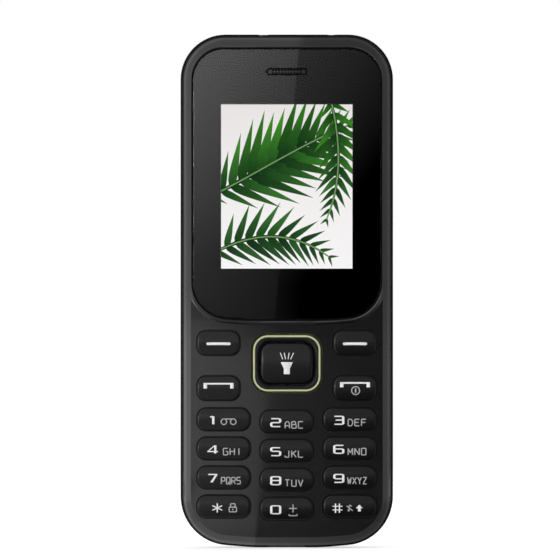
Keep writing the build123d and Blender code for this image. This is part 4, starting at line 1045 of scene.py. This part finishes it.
# %% [markdown]
# The whole frond is two rows of leaflets, a pale stem on top and a dark band under it that closes the gaps
# between the leaflets' feet. Every leaflet lies a hair higher than the one before, so that they overlap
# cleanly.

# %% The tree that grows a frond
LEAF_LIFT = 0.0002 * MM
STEM_LIFT = 0.008 * MM
STEM_THICK = 0.004 * MM
BAND_SHARE = 0.5


def lifted(geometry, height):
    """Geometry raised off the picture."""
    offset = vector_of(geometry.tree, Z=height)
    return add(geometry.tree, "GeometryNodeSetPosition", {"Geometry": geometry, "Offset": offset})


def frond_tree():
    """Leaflets in pairs along stems drawn on XY."""
    inputs = {
        "Stems": GEOMETRY,
        "Pairs": 14,
        "Leaflet": 9 * MM,
        "Blade": 1.1 * MM,
        "Lean": 0.8,
        "Stem": 0.3 * MM,
        "Seed": 1,
        "Finish": MATERIAL,
    }
    tree, given, end = new_group("palm_frond", GEOMETRY_TREE, inputs, {"Frond": GEOMETRY})
    drawn = add(tree, "GeometryNodeMeshToCurve", {"Mesh": given["Stems"]})
    curved = add(tree, "GeometryNodeCurveSplineType", {"Curve": drawn}, spline_type="NURBS")
    even = add(tree, "GeometryNodeResampleCurve", {"Curve": curved, "Count": given["Pairs"]})
    points = lifted(even, add(tree, "GeometryNodeInputIndex") * LEAF_LIFT)
    blade = leaf_blade(tree, given["Blade"])
    rows = [leaflet_row(given, points, blade, side) for side in (-1, 1)]
    stem = marked(strip_along(lifted(even, STEM_LIFT), given["Stem"], STEM_THICK), "stem", 1.0)
    band = strip_along(even, given["Blade"] * BAND_SHARE, STEM_THICK, breadth_of(tree))
    whole = add(tree, "GeometryNodeJoinGeometry", {0: [*rows, stem, band]})
    feed(end, {"Frond": finished(whole, given["Finish"])})
    return tree


PALM_FROND = frond_tree()
tell(PALM_FROND)

# %% [markdown]
# The lit area is a 1.77 inch panel, 28 by 35 mm. Its picture is a thin sheet on the face of the display's
# glass, and its place follows from the packed glass and the border above the lit area.

# %% Where the picture lies
ACTIVE_WIDTH = 28.03 * MM
ACTIVE_HEIGHT = 35.04 * MM
PANEL_TOP_BORDER = 0.8 * MM
PICTURE_SHEET = 0.02 * MM

panel_low, panel_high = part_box("lcd_panel")
picture_top = panel_high.z - PANEL_TOP_BORDER
picture_middle = Vector((0, panel_low.y - PICTURE_SHEET, picture_top - ACTIVE_HEIGHT / 2))
half_picture = Vector((ACTIVE_WIDTH / 2, 0, ACTIVE_HEIGHT / 2))
picture_low = picture_middle - half_picture
picture_high = picture_middle + half_picture + Vector((0, PICTURE_SHEET, 0))
print("picture in mm:", in_mm(picture_high - picture_low))

# %% [markdown]
# Ground and fronds shine with their own colours. On a real panel they are made of dots, which are too small
# to model, so a group of nodes dims the light a little along a fine grid.

# %% Finishes that shine
DOTS_ACROSS = 128
DOT_EDGE, DOT_DIM = 6.0, 0.12
GLOW = 1.1


def dot_grid():
    """How bright a point of the panel is between its dots."""
    inputs = {"Dot": ACTIVE_WIDTH / DOTS_ACROSS}
    tree, given, end = new_group("dot_grid", SHADER_TREE, inputs, {"Light": FLOAT})
    place = place_in(tree)
    edges = [abs((axis / given["Dot"]).fraction() - 0.5) * 2.0 for axis in (place.x, place.z)]
    across, up = [1.0 - edge ** DOT_EDGE * DOT_DIM for edge in edges]
    feed(end, {"Light": across * up})
    return tree


def lit(name, colour_of):
    """A finish that shines with a colour, through the dots of the panel."""
    material, tree, shader = new_finish(name)
    dimmed = {0: colour_of(tree), "Scale": use(tree, DOTS)["Light"]}
    light = add(tree, "ShaderNodeVectorMath", dimmed, operation="SCALE")
    feed(shader, {"Base Color": (*grey(0.004), 1.0), "Specular IOR Level": 0.0})
    feed(shader, {"Emission Color": light, "Emission Strength": GLOW})
    return material


DOTS = dot_grid()
tell(DOTS)

# %% [markdown]
# The ground is a plain sheet, pale and not quite even: cool grey at the top, warm white below, with soft
# patches between.

# %% Ground of the picture
DOWN_SHARE, PATCH_SHARE = 0.8, 0.2


def pale_ground(tree):
    """Off-white that drifts from cool grey at the top to warm white below."""
    down = (picture_top - place_in(tree).z) / ACTIVE_HEIGHT
    soft = use(tree, GRAIN, Drift=14 * MM)["Drift"]
    return mixed(down * DOWN_SHARE + soft * PATCH_SHARE, (0.80, 0.77, 0.76), (0.96, 0.95, 0.95))


def sheet_piece(name, low, high, material):
    """A plain sheet between two corners."""
    shape = bmesh.new()
    bmesh.ops.create_cube(shape, size=1.0)
    for vert in shape.verts:
        vert.co = Vector([a if c < 0 else b for a, b, c in zip(low, high, vert.co)])
    mesh = bpy.data.meshes.new(name)
    shape.to_mesh(mesh)
    shape.free()
    mesh.materials.append(material)
    return in_scene(name, mesh)


ground = sheet_piece("picture_ground", picture_low, picture_high, lit("picture_ground", pale_ground))
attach(ground, "phone")
print("ground faces:", len(ground.data.polygons))

# %% [markdown]
# A leaf is dark where it leaves the stem and brighter towards its tip. Each leaflet carries its own shade
# and each point its way along the blade, both stored by the tree, so one finish colours all of them.

# %% Greens of the leaves
SHADE_GAIN, LEAST_SHADE = 0.8, 0.25
VEIN_LIFT = 0.7


def leaf_greens(tree):
    """Dark green at the stem, brighter towards the tip and the top, each leaflet with its own shade."""
    names = ("shade", "along", "stem")
    shade, along, stem = [add(tree, "ShaderNodeAttribute", attribute_name=name)["Fac"] for name in names]
    veins = use(tree, GRAIN, Grain=0.5 * MM, Drift=2.5 * MM)["Drift"]
    bright = along * (shade * SHADE_GAIN + LEAST_SHADE) * (veins + VEIN_LIFT)
    dark = mixed(shade, (0.004, 0.022, 0.007), (0.012, 0.065, 0.012))
    height = (place_in(tree).z - picture_low.z) / ACTIVE_HEIGHT
    light = mixed(height, (0.045, 0.13, 0.045), (0.05, 0.29, 0.012))
    return mixed(stem, mixed(bright, dark, light), (0.16, 0.30, 0.11))


LEAF_GREENS = lit("picture_leaves", leaf_greens)
print("leaves:", LEAF_GREENS.name)

# %% [markdown]
# Three fronds cross the picture: a broad one that rises from the left edge, one that droops along the
# bottom and one that hangs in from the top right. Stems are a few points each, in millimetres from the
# picture's middle. Each frond is grown, laid on the sheet and cut off square at the edges, as a picture is.

# %% Fronds across the picture
STEMS = {
    "rising_frond": [(-16, -2), (-6, 3), (3, 9), (13, 13)],
    "low_frond": [(-17, -15), (-8, -9.5), (1, -9), (9, -15)],
    "hanging_frond": [(9, 20), (12, 9), (11.5, 0), (8.5, -7)],
}
GROWTH = {
    "rising_frond": {"Pairs": 15, "Leaflet": 12.5 * MM, "Blade": 2.3 * MM, "Lean": 0.95, "Seed": 3},
    "low_frond": {"Pairs": 13, "Leaflet": 8.0 * MM, "Blade": 1.7 * MM, "Lean": 1.0, "Seed": 5},
    "hanging_frond": {"Pairs": 13, "Leaflet": 7.0 * MM, "Blade": 1.6 * MM, "Lean": 0.9, "Seed": 9},
}


def trimmed(piece, low, high):
    """Cuts a piece off square at the picture's edges."""
    shape = bmesh.new()
    shape.from_mesh(piece.data)
    for axis, sign, corner in ((0, -1, low), (0, 1, high), (2, -1, low), (2, 1, high)):
        outward = Vector((0, 0, 0))
        outward[axis] = sign
        everything = shape.verts[:] + shape.edges[:] + shape.faces[:]
        plane = {"plane_co": corner, "plane_no": outward}
        cut = bmesh.ops.bisect_plane(shape, geom=everything, clear_outer=True, **plane)
        rim = [edge for edge in cut["geom_cut"] if isinstance(edge, bmesh.types.BMEdge)]
        bmesh.ops.holes_fill(shape, edges=rim, sides=0)
    bmesh.ops.recalc_face_normals(shape, faces=shape.faces[:])
    shape.to_mesh(piece.data)
    shape.free()


for layer, (name, stem) in enumerate(STEMS.items()):
    points = [(x * MM, z * MM, 0) for x, z in stem]
    edges = [(index, index + 1) for index in range(len(stem) - 1)]
    frond = grown(name, points, edges, PALM_FROND, {**GROWTH[name], "Finish": LEAF_GREENS})
    sheet_y = picture_middle.y - (layer + 1) * PICTURE_SHEET
    for vert in frond.data.vertices:
        x, z, up = vert.co
        vert.co = (picture_middle.x + x, sheet_y - up, picture_middle.z + z)
    trimmed(frond, picture_low, picture_high)
    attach(frond, "phone")
    print(name, "faces:", len(frond.data.polygons))

# %% [markdown]
# The studio: a pale floor in a white room. Both look white to the camera, to mirrors and through glass, and
# they light the phone at a plain level, so that a colour comes out about as it is written.

# %% Floor and room
FLOOR_HALF = 4.0
FLOOR_LIFT = 0.36
ROOM_LIGHT = 0.8
WHITE = (1.0, 1.0, 1.0, 1.0)


def stage_plane(name, corners, material):
    """A flat stage piece from four corners."""
    mesh = bpy.data.meshes.new(name)
    mesh.from_pydata(corners, [], [(0, 1, 2, 3)])
    mesh.materials.append(material)
    piece = in_scene(name, mesh)
    piece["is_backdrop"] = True
    return piece


def lying(left, right, near, far, z):
    """The corners of a level panel."""
    return [(left, near, z), (right, near, z), (right, far, z), (left, far, z)]


def backdrop_ray(tree):
    """One for a ray from the camera, a mirror or glass, nought for the light that falls on things."""
    ray = add(tree, "ShaderNodeLightPath")
    return ray["Is Camera Ray"].at_least(ray["Is Glossy Ray"]).at_least(ray["Is Transmission Ray"])


floor_finish, floor_tree, floor_shader = new_finish("pale_floor")
paper = use(floor_tree, GRAIN, Grain=1.5 * MM, Drift=150 * MM)["Drift"]
feed(floor_shader, {"Base Color": mixed(paper, grey(0.80), grey(0.84))})
feed(floor_shader, {"Roughness": 0.9, "Specular IOR Level": 0.1})
feed(floor_shader, {"Emission Color": WHITE, "Emission Strength": backdrop_ray(floor_tree) * FLOOR_LIFT})
stage_plane("floor", lying(-FLOOR_HALF, FLOOR_HALF, -FLOOR_HALF, FLOOR_HALF, cad_low.z), floor_finish)

world = bpy.data.worlds.new("white_room")
world.use_nodes = True
room_light = backdrop_ray(world.node_tree) * (1.0 - ROOM_LIGHT) + ROOM_LIGHT
feed(world.node_tree.nodes["Background"], {"Color": WHITE, "Strength": room_light})
bpy.context.scene.world = world
print("floor:", 2 * FLOOR_HALF, "m wide, room light:", ROOM_LIGHT)

# %% [markdown]
# Soft boxes at both sides and one from behind give shape to the matt pieces. They are seen neither by the
# camera nor by mirrors, because what the gloss mirrors is set by itself in the next steps.

# %% Soft boxes
SOFT_BOXES = {
    "left_box": {"place": (-0.75, -0.35, 0.16), "width": 0.5, "height": 0.7, "power": 3.0},
    "right_box": {"place": (0.80, -0.30, 0.12), "width": 0.3, "height": 0.6, "power": 1.0},
    "back_box": {"place": (0.55, 0.75, 0.45), "width": 0.4, "height": 0.4, "power": 3.0},
}
phone_middle = Vector((0, 0, (cad_low.z + cad_high.z) / 2))
for name, box in SOFT_BOXES.items():
    lamp = bpy.data.lights.new(name, "AREA")
    lamp.shape = "RECTANGLE"
    lamp.size, lamp.size_y, lamp.energy = box["width"], box["height"], box["power"]
    piece = in_scene(name, lamp)
    piece.location = box["place"]
    piece.rotation_euler = (phone_middle - Vector(box["place"])).to_track_quat("-Z", "Y").to_euler()
    piece.visible_camera = piece.visible_glossy = False
print("soft boxes:", {name: box["power"] for name, box in SOFT_BOXES.items()})

# %% [markdown]
# A glossy front mirrors what stands before it, so the photographer hangs panels that only the gloss sees.
# They could be set by trial, but a mirror can be reckoned: each point of a panel is traced back to the
# point of the phone's face that mirrors it to the camera. Sizes on a panel are then millimetres on the
# face.


# %% From a panel to the phone's face
def face_point(tree):
    """The point of the phone's face, in millimetres, that mirrors this point of a panel to the camera."""
    place = place_in(tree)
    reach = (face_y - place.y) / CAMERA_AWAY
    share = (reach + 1.0) * MM
    return (reach * AIM_X + place.x) / share, (reach * AIM_Z + place.z) / share


print("the mirror is the face, at y in mm:", in_mm([face_y]))

# %% [markdown]
# A pale card on the left fades downwards, a dark flag hangs beside it, and their edge is the slanting line
# across the phone. Window and key deck mirror them in their own way, so each has its own fades. A fade is a
# ramp of four numbers: where it starts and ends, and the light there.

# %% Light of the card and the flag
SHEEN_TOP = (2.85, 109.4)
SHEEN_FOOT = (-6.8, 1.5)
LENS_FOOT = 48.5
CARD_LEFT = -19.5
CARD_FOOT_RISE = (LENS_FOOT, 62.0, 0.42, 0.64)
CARD_RISE = (62.0, 106.0, 0.0, 1.65)
CARD_FALL = (LENS_FOOT, 98.0, 0.012, 0.048)
DECK_CARD = (-20.0, -6.0, 1.08, 0.74)
DECK_SHADE = (-19.0, -6.0, 0.08, 0.8)
DECK_SHADE_RISE = (41.0, 47.5, 0.0, 1.0)
FLAG_LEFT, FLAG_FALL = 3.0, 0.0205
FLAG_RISE = (56.0, 106.0, 0.0, 0.64)
DECK_FLAG = (-3.0, 20.0, 0.20, 0.0)
DECK_FLAG_RISE = (40.0, 47.0, 1.0, 0.1)
OVER_FACE = (109.6, 125.0, 0.0, 1.0)
HIGH_CARD, HIGH_FLAG = 1.5, 0.08


def pick(mask, first, second):
    """The first value where a mask is nought, the second where it is one."""
    return add(mask.tree, "ShaderNodeMix", {"Factor": mask, 2: first, 3: second}, data_type="FLOAT")


def card_light(across, up):
    """The card: brightest at its top left, where the window mirrors it, and level where the deck does."""
    rise = ramp(up, *CARD_FOOT_RISE) + ramp(up, *CARD_RISE)
    lens = (rise - (across - CARD_LEFT) * ramp(up, *CARD_FALL)).at_least(0.0)
    shade = ramp(up, *DECK_SHADE_RISE) * ramp(across, *DECK_SHADE)
    return pick(up > LENS_FOOT, ramp(across, *DECK_CARD) * (1.0 - shade), lens)


def flag_light(across, up):
    """The flag: nearly black, a little paler towards the card and the top."""
    lens = (ramp(up, *FLAG_RISE) - (across - FLAG_LEFT) * FLAG_FALL).at_least(0.0)
    return pick(up > LENS_FOOT, ramp(across, *DECK_FLAG) * ramp(up, *DECK_FLAG_RISE), lens)


def card_and_flag(tree):
    """Card on the left and flag on the right, dark where the picture would mirror them."""
    across, up = face_point(tree)
    edge = ramp(up, SHEEN_FOOT[1], SHEEN_TOP[1], SHEEN_FOOT[0], SHEEN_TOP[0])
    over = ramp(up, *OVER_FACE)
    card = pick(over, card_light(across, up), HIGH_CARD)
    flag = pick(over, flag_light(across, up), HIGH_FLAG)
    beside = abs(across) > ACTIVE_WIDTH / 2 / MM
    above = abs(up - picture_middle.z / MM) > ACTIVE_HEIGHT / 2 / MM
    return pick(across > edge, card, flag) * beside.at_least(above)


print("edge of the card leans over", round(SHEEN_TOP[0] - SHEEN_FOOT[0], 2), "mm")

# %% [markdown]
# The panel itself is a bare plane that shines. One stands a metre before the phone, and one lies between it
# and the foot, for the lower halves of the crowned keys. Both are hidden from the camera and light only the
# gloss.

# %% Card and flag before the phone
CARD_AWAY = 1000 * MM
PANEL_HALF = 900 * MM
PANEL_TOP = 1000 * MM
PANEL_LIFT = 1 * MM
LYING_HALF = 25 * MM
LYING_GAP = 5 * MM
NEAR_DIM = (1.0, 2.45, 0.3, 1.0)
card_y = face_y - CARD_AWAY
near_y = face_y - LYING_GAP
panel_foot = cad_low.z + PANEL_LIFT
panels = []


def panel(name, corners, light_of):
    """A panel that only rays from a mirror or through glass see."""
    finish = bpy.data.materials.new(name)
    finish.use_nodes = True
    tree = finish.node_tree
    tree.nodes.remove(tree.nodes["Principled BSDF"])
    glow = add(tree, "ShaderNodeEmission", {"Strength": light_of(tree)})
    feed(tree.nodes["Material Output"], {"Surface": glow})
    piece = stage_plane(name, corners, finish)
    piece.visible_camera = piece.visible_diffuse = piece.visible_shadow = False
    panels.append(name)


def lying_light(tree):
    """Card and flag, darker near the phone, where only the lower half of a key's crown mirrors them."""
    ahead = (face_y - place_in(tree).y) / MM
    return card_and_flag(tree) * ramp(ahead.at_least(1.0).logarithm(10.0), *NEAR_DIM)


ends = [(-1, panel_foot), (-1, PANEL_TOP), (1, PANEL_TOP), (1, panel_foot)]
panel("upright_card", [(side * PANEL_HALF, card_y, z) for side, z in ends], card_and_flag)
panel("lying_card", lying(-LYING_HALF, LYING_HALF, card_y, near_y, panel_foot), lying_light)
print("panels:", panels)

# %% [markdown]
# The bevel looks sideways, up and down, so it mirrors panels there too. A bright one stands on the left and
# a dim one on the right, each with a strip along the floor. They fade to nearly black behind the phone.

# %% Side panels
LEFT_LIGHT = {"near": 0.8, "full": 2.75, "foot": 0.5, "upper": 0.62}
RIGHT_LIGHT = {"near": 0.25, "full": 1.05, "foot": 0.42, "upper": 0.75}
BRIGHTEN = (math.radians(35), math.radians(80))
DARKEN = (math.radians(100), math.radians(130))
BEHIND_LIGHT = 0.04
DECK_END = (38 * MM, 54 * MM)
FOOT_END = (LYING_HALF, 120 * MM)
PANEL_BACK = 3.0
LOW_BACK = 110 * MM


def by_angle(tree, near, full):
    """Brighter towards the phone's flank, dark behind it, by the angle from straight ahead."""
    place = place_in(tree)
    angle = abs(place.x).at_least(place.z).angle_over(place.y * -1.0)
    return ramp(angle, *BRIGHTEN, near, full) * ramp(angle, *DARKEN, 1.0, 0.0)


def side_light(near, full, foot, upper):
    """A side panel's light, dimmed near the foot and above the deck."""

    def light_of(tree):
        place = place_in(tree)
        dimmer = ramp(place.z, *DECK_END, 1.0, upper) * ramp(abs(place.x), *FOOT_END, foot, 1.0)
        return (by_angle(tree, near, full) * dimmer).at_least(BEHIND_LIGHT)

    return light_of


for side, x, looks in (("left", -PANEL_HALF, LEFT_LIGHT), ("right", PANEL_HALF, RIGHT_LIGHT)):
    ends = [(card_y, panel_foot), (card_y, PANEL_TOP), (PANEL_BACK, PANEL_TOP), (PANEL_BACK, panel_foot)]
    panel(side + "_panel", [(x, y, z) for y, z in ends], side_light(**looks))
    inner = math.copysign(LYING_HALF, x)
    strip = lying(min(x, inner), max(x, inner), card_y, LOW_BACK, panel_foot)
    panel(side + "_low_panel", strip, side_light(**looks))
print("panels:", panels)

# %% [markdown]
# Overhead hangs a panel that is bright on its left and dim on its right, and under the foot lies an apron
# that is parted likewise. The rounded ends of the phone mirror them.

# %% Overhead panel and apron
TOP_LIGHT = {"near": 0.41, "full": 1.27}
TOP_PARTING = 4.4 * MM
TOP_LEFT = (-PANEL_HALF, 0.0, 1.2, 0.92)
TOP_RIGHT = (0.0, PANEL_HALF, 0.44, 0.53)
APRON_PARTING = SHEEN_FOOT[0] * MM
APRON_LEFT = (-25 * MM, APRON_PARTING, 1.4, 1.3)
APRON_RIGHT = (APRON_PARTING, 18 * MM, 0.9, 0.46)
APRON_HALF = LYING_HALF + 6 * MM
APRON_LIFT = 0.05 * MM


def parted(tree, parting, left, right):
    """Light that changes at a line: one ramp on its left, another on its right."""
    across = place_in(tree).x
    return pick(across > parting, ramp(across, *left), ramp(across, *right))


def top_light(tree):
    """Overhead: bright on the left and dim on the right."""
    light = parted(tree, TOP_PARTING, TOP_LEFT, TOP_RIGHT) * by_angle(tree, **TOP_LIGHT)
    return light.at_least(BEHIND_LIGHT)


def apron_light(tree):
    """Bright on the left and dim on the right, parted where card and flag meet."""
    return parted(tree, APRON_PARTING, APRON_LEFT, APRON_RIGHT)


apron = lying(-APRON_HALF, APRON_HALF, near_y, cad_high.y, cad_low.z + APRON_LIFT)
panel("apron_panel", apron, apron_light)
panel("top_panel", lying(-PANEL_HALF, PANEL_HALF, card_y, PANEL_BACK, PANEL_TOP), top_light)
print("panels:", panels)

# %% Size of the dressed phone
low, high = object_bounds()
print("dressed size in mm:", in_mm(high - low))
